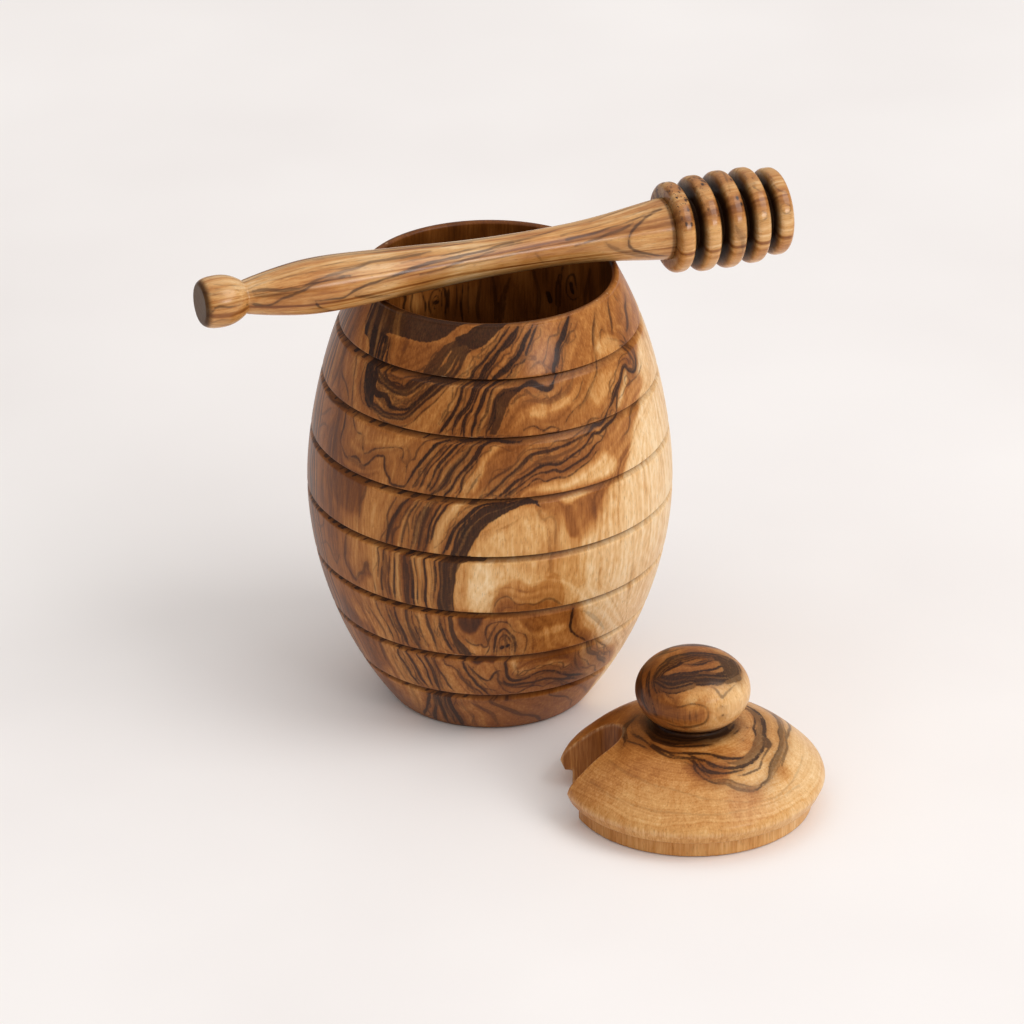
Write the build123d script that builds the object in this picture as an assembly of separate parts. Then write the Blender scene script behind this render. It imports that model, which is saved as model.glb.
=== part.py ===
"""Turned olive-wood honey pot: a ribbed pot, a knob lid with a slot, and a dipper laid across the mouth."""
from build123d import *
from math import cos, radians, sin, sqrt
import os

# Pot: heights from the table up.
POT_HEIGHT = 120.0
MOUTH_RADIUS = 31.7
LIP_WIDTH = 2.0
LIP_RISE = 0.8
MOUTH_TOP = POT_HEIGHT - LIP_RISE
LIP_CREST_RADIUS = MOUTH_RADIUS + LIP_WIDTH / 2
POT_RADII = [26.4, 35.8, 44.4, 48.0, 45.6, 39.8]  # on the proud faces of the bands, below the lip
POT_RADII_SHARES = [0.0, 0.12, 0.3, 0.5, 0.7, 0.88]  # where each one is, as a share of the height
BAND_EDGE_SHARES = [0.1242, 0.2467, 0.3692, 0.51, 0.6433, 0.775, 0.8942]  # crisp lower edge of the band above
BAND_STEP_DEPTH = 1.3
BAND_STEP_RISE = 0.2
BAND_BEVEL_HEIGHT = 2.1
BASE_EDGE_ROUND = 0.8
CHAMBER_FLOOR = 14.0
CHAMBER_CORNER = 14.0

# Lid: heights from the underside of its plug.
PLUG_CLEARANCE = 0.5
PLUG_RADIUS = MOUTH_RADIUS - PLUG_CLEARANCE
PLUG_HEIGHT = 4.9
PLUG_EDGE_ROUND = 0.4
FLANGE_OVERHANG = 1.5  # past the mouth, at the flange's underside
CREST_OVERHANG = 2.7  # past the mouth, at the widest
FLANGE_UNDER_RADIUS = MOUTH_RADIUS + FLANGE_OVERHANG
CREST_RADIUS = MOUTH_RADIUS + CREST_OVERHANG
CREST_HEIGHT = 7.6
DOME_HEIGHTS = [9.2, 12.0, 14.0, 16.0, 17.9, 19.8, 21.2, 22.2]  # from above the crest to the neck
DOME_SHARES = [0.9855, 0.9157, 0.8547, 0.7878, 0.7122, 0.6105, 0.4942, 0.3605]  # radius there, of the crest's
NECK_RADIUS = 9.8
NECK_SHARE = 0.4849  # where the neck is narrowest, on the way up from the dome to the knob
KNOB_RADIUS = 14.8
KNOB_HALF_HEIGHT = 10.5
KNOB_CENTRE_HEIGHT = 31.8
KNOB_START_ANGLE = -42.0
LID_X = 52.1
LID_Y = -64.4

# Slot through the lid, opening at its rim.
SLOT_AZIMUTH = 185.0
SLOT_END_RADIUS = 6.6
SLOT_END_CENTRE = 24.6  # from the lid's axis
SLOT_FLARE_ANGLE = 14.0
SLOT_CUT_BEYOND = 4.0  # past the rim, to cut clear through it

# Dipper: distances along its axis from the flat end of the handle.
END_KNOB_POINTS = [  # (radius, distance) from the end face to the notch
    (5.2, 0.0), (6.2, 1.3), (6.65, 3.4), (6.7, 5.6), (6.3, 8.0), (5.3, 10.3), (4.3, 11.8),
]
HANDLE_POINTS = [  # (radius, distance) from the notch to the first disc
    (4.3, 11.8), (5.3, 16.3), (6.25, 21.7), (7.0, 27.6), (7.2, 37.7), (6.65, 48.7), (6.05, 59.6), (5.4, 70.9),
    (5.1, 81.8), (5.1, 93.0), (5.5, 104.3), (6.65, 115.8), (7.9, 125.6), (8.15, 128.1),
]
DISC_RADII = [11.9, 12.6, 12.8, 12.6, 11.5]
DISC_FIRST_CENTRE = 130.3
DISC_PITCH = 7.0
DISC_THICKNESS = 4.4
DISC_EDGE_ROUND = 1.7
CORE_RADIUS = 7.0
DIPPER_END_X = -73.4
DIPPER_END_Y = -35.6
DIPPER_AZIMUTH = 21.8
DIPPER_CLEARANCE = 0.19  # over the lip's crest


def at(radius, height):
    return Vector(radius, 0, height)


def turned(lines):
    """The solid of revolution of a closed outline in the XZ plane."""
    return revolve(make_face(Wire(lines)), Axis.Z, 360)


def radius_at(curve, height):
    low, high = 0.0, 1.0
    for _ in range(50):
        middle = (low + high) / 2
        if (curve @ middle).Z < height:
            low = middle
        else:
            high = middle
    return (curve @ low).X


def band_step(outline, edge_height):
    """The ring cut under a band: a flat step in, then a bevel out to the next band."""
    low_height = edge_height - BAND_BEVEL_HEIGHT
    upper = at(radius_at(outline, edge_height), edge_height)
    lower = at(radius_at(outline, low_height), low_height)
    root = at(upper.X - BAND_STEP_DEPTH, edge_height + BAND_STEP_RISE)
    beyond_upper = root + (upper - root) * 2
    beyond_lower = root + (lower - root) * 2
    return turned(Polyline(root, beyond_upper, beyond_lower, root).edges())


def pot():
    points = [at(r, share * POT_HEIGHT) for r, share in zip(POT_RADII, POT_RADII_SHARES)]
    outline = Spline(points + [at(MOUTH_RADIUS + LIP_WIDTH, MOUTH_TOP)])
    lip = ThreePointArc(outline @ 1, at(LIP_CREST_RADIUS, POT_HEIGHT), at(MOUTH_RADIUS, MOUTH_TOP))
    corner_radius = MOUTH_RADIUS - CHAMBER_CORNER
    corner_height = CHAMBER_FLOOR + CHAMBER_CORNER
    reach = CHAMBER_CORNER * sin(radians(45))
    bore = Line(lip @ 1, at(MOUTH_RADIUS, corner_height))
    corner = ThreePointArc(bore @ 1, at(corner_radius + reach, corner_height - reach), at(corner_radius, CHAMBER_FLOOR))
    floor = Line(corner @ 1, at(0, CHAMBER_FLOOR))
    axis = Line(floor @ 1, at(0, 0))
    base = Line(axis @ 1, outline @ 0)
    body = turned([outline, lip, bore, corner, floor, axis, base])
    for share in BAND_EDGE_SHARES:
        body -= band_step(outline, share * POT_HEIGHT)
    base_edge = body.edges().filter_by(GeomType.CIRCLE).sort_by(Axis.Z)[0]
    return fillet(base_edge, BASE_EDGE_ROUND)


def knob_curve():
    points = []
    for step in range(9):
        angle = radians(KNOB_START_ANGLE + (90 - KNOB_START_ANGLE) * step / 8)
        points.append(at(KNOB_RADIUS * cos(angle), KNOB_CENTRE_HEIGHT + KNOB_HALF_HEIGHT * sin(angle)))
    points[-1] = at(0, KNOB_CENTRE_HEIGHT + KNOB_HALF_HEIGHT)
    return Spline(points)


def slot_cutter():
    reach = CREST_RADIUS + SLOT_CUT_BEYOND - SLOT_END_CENTRE
    half_mouth = SLOT_END_RADIUS / cos(radians(SLOT_FLARE_ANGLE)) + reach * sin(radians(SLOT_FLARE_ANGLE))
    tangent_x = -SLOT_END_RADIUS * sin(radians(SLOT_FLARE_ANGLE))
    tangent_y = SLOT_END_RADIUS * cos(radians(SLOT_FLARE_ANGLE))
    flare = make_face(Polyline(
        (tangent_x, tangent_y, 0), (tangent_x, -tangent_y, 0), (reach, -half_mouth, 0), (reach, half_mouth, 0),
        (tangent_x, tangent_y, 0)))
    plan = Pos(SLOT_END_CENTRE, 0) * (Circle(SLOT_END_RADIUS) + flare)
    height = KNOB_CENTRE_HEIGHT
    return Rot(0, 0, SLOT_AZIMUTH) * Pos(0, 0, -height / 2) * extrude(plan, 2 * height)


def lid():
    plug_edge = ThreePointArc(
        at(PLUG_RADIUS - PLUG_EDGE_ROUND, 0),
        at(PLUG_RADIUS - PLUG_EDGE_ROUND * (1 - cos(radians(45))), PLUG_EDGE_ROUND * (1 - sin(radians(45)))),
        at(PLUG_RADIUS, PLUG_EDGE_ROUND))
    plug_side = Line(plug_edge @ 1, at(PLUG_RADIUS, PLUG_HEIGHT))
    under = Line(plug_side @ 1, at(FLANGE_UNDER_RADIUS, PLUG_HEIGHT))
    bevel = Line(under @ 1, at(CREST_RADIUS, CREST_HEIGHT))
    dome = Spline([bevel @ 1] + [at(share * CREST_RADIUS, z) for share, z in zip(DOME_SHARES, DOME_HEIGHTS)])
    knob = knob_curve()
    neck_height = (dome @ 1).Z + NECK_SHARE * ((knob @ 0).Z - (dome @ 1).Z)
    neck = ThreePointArc(dome @ 1, at(NECK_RADIUS, neck_height), knob @ 0)
    axis = Line(knob @ 1, at(0, 0))
    bottom = Line(axis @ 1, plug_edge @ 0)
    body = turned([plug_edge, plug_side, under, bevel, dome, neck, knob, axis, bottom])
    return Pos(LID_X, LID_Y, 0) * (body - slot_cutter())


def disc(radius, centre):
    blank = Cylinder(radius, DISC_THICKNESS)
    return Pos(0, 0, centre) * fillet(blank.edges(), DISC_EDGE_ROUND)


def lip_crossings():
    """The two distances along the dipper's axis at which it passes over the lip's crest."""
    azimuth = radians(DIPPER_AZIMUTH)
    middle = -(DIPPER_END_X * cos(azimuth) + DIPPER_END_Y * sin(azimuth))
    off_centre = DIPPER_END_Y * cos(azimuth) - DIPPER_END_X * sin(azimuth)
    half_chord = sqrt(LIP_CREST_RADIUS ** 2 - off_centre ** 2)
    return middle - half_chord, middle + half_chord


def dipper():
    end_knob = Spline([at(r, z) for r, z in END_KNOB_POINTS])
    handle = Spline([at(r, z) for r, z in HANDLE_POINTS])
    core_end = DISC_FIRST_CENTRE + DISC_PITCH * (len(DISC_RADII) - 1)
    body = turned([
        Line(at(0, 0), end_knob @ 0), end_knob, handle,
        Line(handle @ 1, at(CORE_RADIUS, (handle @ 1).Z)),
        Line(at(CORE_RADIUS, (handle @ 1).Z), at(CORE_RADIUS, core_end)),
        Line(at(CORE_RADIUS, core_end), at(0, core_end)), Line(at(0, core_end), at(0, 0)),
    ])
    for index, radius in enumerate(DISC_RADII):
        body += disc(radius, DISC_FIRST_CENTRE + DISC_PITCH * index)
    axis_height = POT_HEIGHT + max(radius_at(handle, s) for s in lip_crossings()) + DIPPER_CLEARANCE
    azimuth = radians(DIPPER_AZIMUTH)
    place = Plane(origin=(DIPPER_END_X, DIPPER_END_Y, axis_height), z_dir=(cos(azimuth), sin(azimuth), 0))
    return place * body


os.makedirs("parts", exist_ok=True)
export_step(pot(), "parts/pot_body.step")
export_step(lid(), "parts/lid.step")
export_step(dipper(), "parts/dipper.step")
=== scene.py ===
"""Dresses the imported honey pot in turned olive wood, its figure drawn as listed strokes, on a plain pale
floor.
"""
import bpy
import math
import numpy as np
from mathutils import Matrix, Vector


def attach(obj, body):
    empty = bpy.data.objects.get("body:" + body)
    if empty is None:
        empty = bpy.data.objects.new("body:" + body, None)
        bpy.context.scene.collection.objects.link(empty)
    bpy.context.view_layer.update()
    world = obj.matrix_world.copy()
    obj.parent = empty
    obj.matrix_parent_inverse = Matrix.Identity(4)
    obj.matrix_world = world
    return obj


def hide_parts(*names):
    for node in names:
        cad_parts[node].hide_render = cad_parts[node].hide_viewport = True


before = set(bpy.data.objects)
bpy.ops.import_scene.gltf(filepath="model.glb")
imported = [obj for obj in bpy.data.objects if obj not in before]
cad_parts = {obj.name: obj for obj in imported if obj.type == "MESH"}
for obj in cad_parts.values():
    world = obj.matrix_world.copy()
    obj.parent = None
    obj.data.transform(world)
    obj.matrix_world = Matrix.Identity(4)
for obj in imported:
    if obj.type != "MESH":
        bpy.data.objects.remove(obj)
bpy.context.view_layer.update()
MM = 0.001

# Camera, fitted to the photograph. Metres and degrees.
CAMERA_AT = (0.0058153, -1.5357003, 0.8106807)
CAMERA_TILT = 63.662
CAMERA_LENS = 228.516
CAMERA_SENSOR = 36.0

# Pot, in millimetres and degrees. Its front faces -90 degrees.
POT_HEIGHT = 120.0
MOUTH_TOP = 119.2
MOUTH_RADIUS = 31.7
LIP_WIDTH = 2.0
POT_OUTLINE = [(26.4, 0), (35.8, 14.4), (44.4, 36), (48, 60), (45.6, 84), (39.8, 105.6), (33.7, 119.2)]
BAND_EDGES = [14.904, 29.604, 44.304, 61.2, 77.196, 93.0, 107.304]
STEP_DEPTH = 1.3
STEP_RISE = 0.2
BEVEL_HEIGHT = 2.1
CREST_HEIGHT = 0.6
BASE_ROUND = 0.8
BASE_FLARE = 0.35
CHAMBER_FLOOR = 14.0
CHAMBER_CORNER = 14.0
INSET = 0.015

# Where the pot's mesh is fine: the side that the camera sees, and the bore down to this height.
SEEN_SIDE = (-180.0, -5.0)
FINE_STEP = 0.26
COARSE_STEP = 0.8
ROW_HEIGHT = 0.34
BORE_FINE_TO = 88
BORE_DRAWN_TO = 85

# Lid.
LID_AT = (52.1, -64.4)
PLUG_RADIUS = 31.2
PLUG_HEIGHT = 4.9
LID_OUTLINE = [
    (34.4, 7.6), (33.9, 9.2), (31.5, 12.0), (29.4, 14.0), (27.1, 16.0), (24.5, 17.9), (21.0, 19.8),
    (17.0, 21.2), (12.4, 22.2),
]
NECK = (9.8, 23.4)
KNOB_RADIUS = 14.8
KNOB_HALF_HEIGHT = 10.5
KNOB_CENTRE = 31.8
KNOB_START = -42.0
FLANGE_UNDER_RADIUS = 33.2
SLOT_AZIMUTH = 185.0
SLOT_END_RADIUS = 6.6
SLOT_END_CENTRE = 24.6
SLOT_FLARE = 14.0
SLOT_ROUND = 0.5
BRIM = (34.3, 7.6)
LID_VOXEL = 0.36
# Steps in which the lid's outline is tabulated, and its slope measured.
TABLE_STEP = 0.12
PROBE = 0.02

# Dipper.
DIPPER_END = (-73.4, -35.6, 126.812)
DIPPER_AZIMUTH = 21.8
END_KNOB = [(5.2, 0.0), (6.2, 1.3), (6.65, 3.4), (6.7, 5.6), (6.3, 8.0), (5.3, 10.3), (4.3, 11.8)]
HANDLE = [
    (4.3, 11.8), (5.3, 16.3), (6.25, 21.7), (7.0, 27.6), (7.2, 37.7), (6.65, 48.7), (6.05, 59.6),
    (5.4, 70.9), (5.1, 81.8), (5.1, 93.0), (5.5, 104.3), (6.65, 115.8), (7.9, 125.6), (8.15, 128.1),
]
DISC_RADII = [11.9, 12.6, 12.8, 12.6, 11.5]
DISC_FIRST = 130.3
DISC_PITCH = 7.0
DISC_THICKNESS = 4.4
DISC_ROUND = 1.7
CORE_RADIUS = 7.0
CORE_ROUND = 0.3
DIPPER_SIDES = 260
# Number of small pits on each of the first discs.
PITS = (26, 18, 5, 4)
DIPPER_SHRINK = 1 - .0006

# Ink, in millimetres: the blur of its edge, the brown on its soft and sharp sides, and how far that
# is followed.
INK_FEATHER = 2.2
HALO_SOFT = 1.5
HALO_SHARP = 0.35
HALO_REACH = 4.0
# Shares by which a stroke's width swells along it, and thin stripes lighten it.
WIDTH_SWELL = 0.22
SWELL_LENGTH = 5.0
STRIPED = 0.5
STRIPE_WIDTH = 0.3
STRIPED_FROM = 0.9

# Maps of the pot's outside: height covered, and rows and columns of the coarse and the fine one.
MAP_TOP = 121.0
FLOW_ROWS, FLOW_COLUMNS = 81, 240
GRAIN_ROWS, GRAIN_COLUMNS = 400, 1080
FLOW_REACH = 3.2
UPRIGHT = (-0.15, 0.0)
SMEAR_STEP = 0.55
SMEAR_STEPS = 32

# How far the pot's drawing sways, in mm, and at which radius.
SWAY = 0.225
SWAY_RADIUS = 40.0

# Studio: the sky's strength at the horizon and near its top, its colour, and sizes in metres.
SKY_LOW = 0.12
SKY_HIGH = 1.04
SKY_WHITE = (1, 0.985, 0.97, 1)
FLOOR_SIZE = 8.0
FLOOR_GAP = 0.0002
LAMPS_AIM = Vector((0, 0, 0.05))


def spline(points, step):
    """A smooth curve through the points, cut into pieces about one step long."""
    p = np.array(points, float)
    t = np.concatenate([[0], np.cumsum(np.linalg.norm(np.diff(p, axis=0), axis=1))])
    h = np.diff(t)
    slope = np.diff(p, axis=0) / h[:, None]
    n = len(p)
    a = np.zeros((n, n))
    b = np.zeros((n, 2))
    a[0, 0] = a[-1, -1] = 1
    b[0] = slope[0] - (slope[1] - slope[0]) * h[0] / (h[0] + h[1])
    b[-1] = slope[-1] + (slope[-1] - slope[-2]) * h[-1] / (h[-1] + h[-2])
    for i in range(1, n - 1):
        a[i, i - 1:i + 2] = h[i], 2 * (h[i - 1] + h[i]), h[i - 1]
        b[i] = 3 * (h[i] * slope[i - 1] + h[i - 1] * slope[i])
    m = np.linalg.solve(a, b)
    u = np.linspace(0, t[-1], max(2, int(round(t[-1] / step)) + 1))
    k = np.clip(np.searchsorted(t, u, side="right") - 1, 0, n - 2)
    s = ((u - t[k]) / h[k])[:, None]
    hk = h[k][:, None]
    return (p[k] * (1 + 2 * s) * (1 - s) ** 2 + m[k] * hk * s * (1 - s) ** 2
            + p[k + 1] * s * s * (3 - 2 * s) + m[k + 1] * hk * s * s * (s - 1))


def line(a, b, step):
    a, b = np.array(a, float), np.array(b, float)
    count = max(1, int(round(np.linalg.norm(b - a) / step)))
    return a + (b - a) * np.linspace(0, 1, count + 1)[:, None]


def arc(centre, radius, start, end, count):
    angles = np.radians(np.linspace(start, end, count))
    return np.array(centre) + radius * np.stack([np.cos(angles), np.sin(angles)], 1)


def rounded(points, radius, count=5):
    """The middle of three points replaced by a small arc-like curve."""
    a, b, c = (np.array(p, float) for p in points)
    ab = b + (a - b) / np.linalg.norm(a - b) * radius
    cb = b + (c - b) / np.linalg.norm(c - b) * radius
    t = np.linspace(0, 1, count)[:, None]
    return ab * (1 - t) ** 2 + 2 * b * t * (1 - t) + cb * t * t


def chain(*parts):
    """Curves joined end to end, without doubled points."""
    out = [np.atleast_2d(parts[0])]
    for part in parts[1:]:
        part = np.atleast_2d(part)
        if np.linalg.norm(out[-1][-1] - part[0]) < 0.02:
            part = part[1:]
        out.append(part)
    return np.concatenate(out)


def even_turn(sides):
    return np.arange(sides) * 2 * np.pi / sides


def front_turn(radius):
    """Angles round the pot, close together on the side that the camera sees."""
    first, last = np.radians(SEEN_SIDE)
    fine = np.arange(first, last, FINE_STEP / radius)
    count = int((2 * np.pi - (last - first)) * radius / COARSE_STEP)
    return np.concatenate([fine, np.linspace(last, first + 2 * np.pi, count, endpoint=False)])


def lathe(name, profile, angles, place):
    """A closed turned mesh. The profile runs from axis to axis, and place maps its points into the scene."""
    inner = profile[1:-1]
    sides, rows = len(angles), len(inner)
    xyz = np.empty((rows, sides, 3))
    xyz[:, :, 0] = inner[:, :1] * np.cos(angles)
    xyz[:, :, 1] = inner[:, :1] * np.sin(angles)
    xyz[:, :, 2] = inner[:, 1:]
    local = np.concatenate([xyz.reshape(-1, 3), [[0, 0, profile[0, 1]], [0, 0, profile[-1, 1]]]])
    i = np.arange(rows - 1)[:, None] * sides
    j = np.arange(sides)[None, :]
    k = (j + 1) % sides
    quads = np.stack([i + j, i + k, i + sides + k, i + sides + j], -1).reshape(-1, 4)
    first, last = rows * sides, rows * sides + 1
    j, k = j[0], k[0]
    fans = np.concatenate([np.stack([np.full(sides, first), k, j], 1),
                           np.stack([np.full(sides, last), (rows - 1) * sides + j,
                                     (rows - 1) * sides + k], 1)])
    mesh = bpy.data.meshes.new(name)
    mesh.vertices.add(len(local))
    mesh.vertices.foreach_set("co", (place(local) * MM).astype(np.float32).ravel())
    mesh.loops.add(quads.size + fans.size)
    mesh.loops.foreach_set("vertex_index", np.concatenate([quads.ravel(), fans.ravel()]).astype(np.int32))
    mesh.polygons.add(len(quads) + len(fans))
    starts = np.concatenate([np.arange(len(quads)) * 4, quads.size + np.arange(len(fans)) * 3])
    mesh.polygons.foreach_set("loop_start", starts.astype(np.int32))
    mesh.update(calc_edges=True)
    mesh.validate()
    mesh.shade_smooth()
    obj = bpy.data.objects.new(name, mesh)
    bpy.context.scene.collection.objects.link(obj)
    return obj, local


def normals(obj):
    """Which way each of a piece's points faces."""
    mesh = obj.data
    out = np.empty(len(mesh.vertices) * 3, np.float32)
    mesh.vertex_normals.foreach_get("vector", out)
    return out.reshape(-1, 3).astype(float)


def store(obj, **fields):
    """Numbers kept on each of the piece's points, for its material."""
    for name, values in fields.items():
        attribute = obj.data.attributes.new(name, "FLOAT", "POINT")
        attribute.data.foreach_set("value", np.asarray(values, np.float32))


def smoothstep(low, high, x):
    """0 up to low and 1 from high, with a smooth rise between."""
    t = np.clip((x - low) / (high - low), 0, 1)
    return t * t * (3 - 2 * t)


def noise_along(x, spacing, seed):
    """Smooth random values along one length."""
    table = np.random.default_rng(seed).normal(size=4096)
    t = np.asarray(x) / spacing + 500
    k = np.floor(t).astype(int)
    f = smoothstep(0, 1, t - k)
    return table[k % len(table)] * (1 - f) + table[(k + 1) % len(table)] * f


def waves(points, length, seed, count=7):
    """Smooth random values of about unit size, that change over the given length."""
    rng = np.random.default_rng(seed)
    directions = rng.normal(size=(count, points.shape[1]))
    directions /= np.linalg.norm(directions, axis=1)[:, None]
    scale = 2 * np.pi / length * rng.uniform(0.6, 1.5, count)
    phase = rng.uniform(0, 2 * np.pi, count)
    return np.sin(points @ (directions * scale[:, None]).T + phase).sum(1) / math.sqrt(count / 2)


def near_segments(points, path):
    """Distance of each point to a run of segments, and which segment is nearest."""
    best = np.full(len(points), 1e9)
    which = np.zeros(len(points), int)
    for i, (a, b) in enumerate(zip(path[:-1], path[1:])):
        d = b - a
        t = np.clip((points - a) @ d / max(d @ d, 1e-9), 0, 1)
        distance = ((points - a - t[:, None] * d) ** 2).sum(1)
        closer = distance < best
        best[closer] = distance[closer]
        which[closer] = i
    return np.sqrt(best), which


def near_stroke(points, path, reach):
    """Which points lie near a path, how far from it they are, and its nearest segment to each."""
    low, high = path.min(0) - reach, path.max(0) + reach
    near = np.flatnonzero(((points > low) & (points < high)).all(1))
    distance, which = near_segments(points[near], path)
    keep = distance < reach
    return near[keep], distance[keep], which[keep]


def swelling(path, which, width, seed):
    """A stroke's width beside each point, as a share: it swells along its run and thins to its ends."""
    run = np.concatenate([[0], np.cumsum(np.linalg.norm(np.diff(path, axis=0), axis=1))])
    along = (run[which] + run[which + 1]) / 2
    swell = 1 + WIDTH_SWELL * noise_along(along, SWELL_LENGTH, seed)
    if run[-1] > 4 * width:
        swell *= smoothstep(-2 * width, 3 * width + 1, np.minimum(along, run[-1] - along))
    return swell


def draw(points, outward, strokes, surface):
    """Ink fields at each point: 0.5 on a stroke's edge and 1 inside, its darkness, and the brown beside."""
    edge, depth, halo = np.zeros((3, len(points)))
    for width, dark, flat in strokes:
        path = np.array(flat, float).reshape(-1, 2)
        path[:, 0] = np.unwrap(path[:, 0], period=360)
        path = surface(smooth_path(path))
        half, reach = width / 2, width / 2 + HALO_REACH
        near, distance, which = near_stroke(points, path, reach)
        if not len(near):
            continue
        seed = int(abs(flat[0] * 7 + flat[1] * 3))
        value = np.clip(0.5 - (distance - half * swelling(path, which, width, seed)) / INK_FEATHER, 0, 1)
        turn = np.cross(path[which + 1] - path[which], points[near] - path[which])
        side = np.einsum("ij,ij->i", turn, outward[near])
        stripe = smoothstep(.2, 1.2, noise_along(distance * np.sign(side), STRIPE_WIDTH, seed + 1))
        thin = min(1, max(0, (width - STRIPED_FROM) / .6)) * stripe
        wins = value > edge[near]
        edge[near[wins]] = value[wins]
        depth[near[wins]] = dark * (1 - STRIPED * thin[wins])
        soft = side * (1 if seed % 3 else -1) > 0
        fade = smoothstep(reach, half + 1, distance) * np.exp(
            -np.maximum(distance - half, 0) / np.where(soft, HALO_SOFT, HALO_SHARP))
        halo[near] = np.maximum(halo[near], dark * min(1, .45 + width / 2.5) * fade)
    return edge, depth, halo


def smooth_path(p, parts=3):
    """A given run of points, rounded by a curve through them."""
    if len(p) < 3:
        return np.concatenate([line(a, b, np.linalg.norm(b - a) / 4)[:-1] for a, b in zip(p[:-1], p[1:])]
                              + [p[-1:]])
    q = np.concatenate([[2 * p[0] - p[1]], p, [2 * p[-1] - p[-2]]])
    out = []
    for i in range(1, len(q) - 2):
        for t in np.arange(parts) / parts:
            out.append(0.5 * (2 * q[i] + (q[i + 1] - q[i - 1]) * t
                              + (2 * q[i - 1] - 5 * q[i] + 4 * q[i + 1] - q[i + 2]) * t * t
                              + (3 * q[i] - q[i - 1] - 3 * q[i + 1] + q[i + 2]) * t ** 3))
    return np.array(out + [p[-1]])


def inside(points, polygon):
    """Signed distance to a closed outline on the flat: positive inside."""
    result = np.zeros(len(points), bool)
    x, y = points[:, 0], points[:, 1]
    for (x0, y0), (x1, y1) in zip(polygon, np.roll(polygon, -1, axis=0)):
        crosses = (y0 > y) != (y1 > y)
        result ^= crosses & (x < (x1 - x0) * (y - y0) / ((y1 - y0) or 1e-9) + x0)
    distance = near_segments(points, np.concatenate([polygon, polygon[:1]]))[0]
    return np.where(result, distance, -distance)


def pot_radius_table():
    curve = spline(POT_OUTLINE, 0.25)
    return curve[:, 1], curve[:, 0] - INSET


POT_Z, POT_R = pot_radius_table()


def pot_radius(z):
    return np.interp(z, POT_Z, POT_R)


def degree(z):
    """Length in mm of one degree round the pot."""
    return np.radians(1) * pot_radius(z)


def groove(band, edge):
    """The outline from a band's last rows over the groove's bevel and root to the next band's crest."""
    toe = band[-1]
    root = np.array([pot_radius(edge) - STEP_DEPTH, edge + STEP_RISE])
    crest = np.array([pot_radius(edge), edge])
    above = np.array([pot_radius(edge + CREST_HEIGHT), edge + CREST_HEIGHT])
    return [band[:-1], rounded([band[-2], toe, root], .25, 4),
            line(toe + (root - toe) * .15, root + (toe - root) * .06, .3),
            rounded([toe, root, crest], .12, 3), rounded([root, crest, above], .28, 6)]


def pot_profile():
    """The pot's outline from the middle of its base, up the outside, over the lip and down the bore."""
    radius = pot_radius(0.0)
    base = [radius - BASE_ROUND, 0.0]
    parts = [line((0, 0), base, 4.0), rounded([base, [radius, 0.0], [radius + BASE_FLARE, BASE_ROUND]], .6)]
    start = BASE_ROUND
    for edge in BAND_EDGES:
        toe = edge - BEVEL_HEIGHT
        z = np.linspace(start, toe, int((toe - start) / ROW_HEIGHT) + 1)
        parts += groove(np.stack([pot_radius(z), z], 1), edge)
        start = edge + CREST_HEIGHT
    z = np.linspace(start, MOUTH_TOP - .2, 34)
    t = np.radians(np.linspace(0, 180, 15))
    half = LIP_WIDTH / 2
    lip = np.stack([MOUTH_RADIUS + half + half * np.cos(t),
                    MOUTH_TOP + (POT_HEIGHT - MOUTH_TOP) * np.sin(t)], 1)
    corner_r, corner_z = MOUTH_RADIUS - CHAMBER_CORNER, CHAMBER_FLOOR + CHAMBER_CORNER
    parts += [np.stack([pot_radius(z), z], 1), lip,
              line((MOUTH_RADIUS, MOUTH_TOP - .8), (MOUTH_RADIUS, BORE_FINE_TO), .45),
              line((MOUTH_RADIUS, BORE_FINE_TO - 1), (MOUTH_RADIUS, corner_z), 1.6),
              arc((corner_r, corner_z), CHAMBER_CORNER, 0, -90, 16),
              line((corner_r, CHAMBER_FLOOR), (0, CHAMBER_FLOOR), 3.0)]
    return chain(*parts)


def around(path, radius):
    """Points given as (degrees, height) put round the Z axis."""
    a = np.radians(path[:, 0])
    return np.stack([radius * np.cos(a), radius * np.sin(a), path[:, 1]], 1)


def pot_surface(path):
    """Points given as (degrees, height) put on the pot's outside."""
    return around(path, pot_radius(path[:, 1]))


def bore_surface(path):
    """Points given as (degrees, height) put on the mouth's wall."""
    return around(path, MOUTH_RADIUS)


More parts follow.
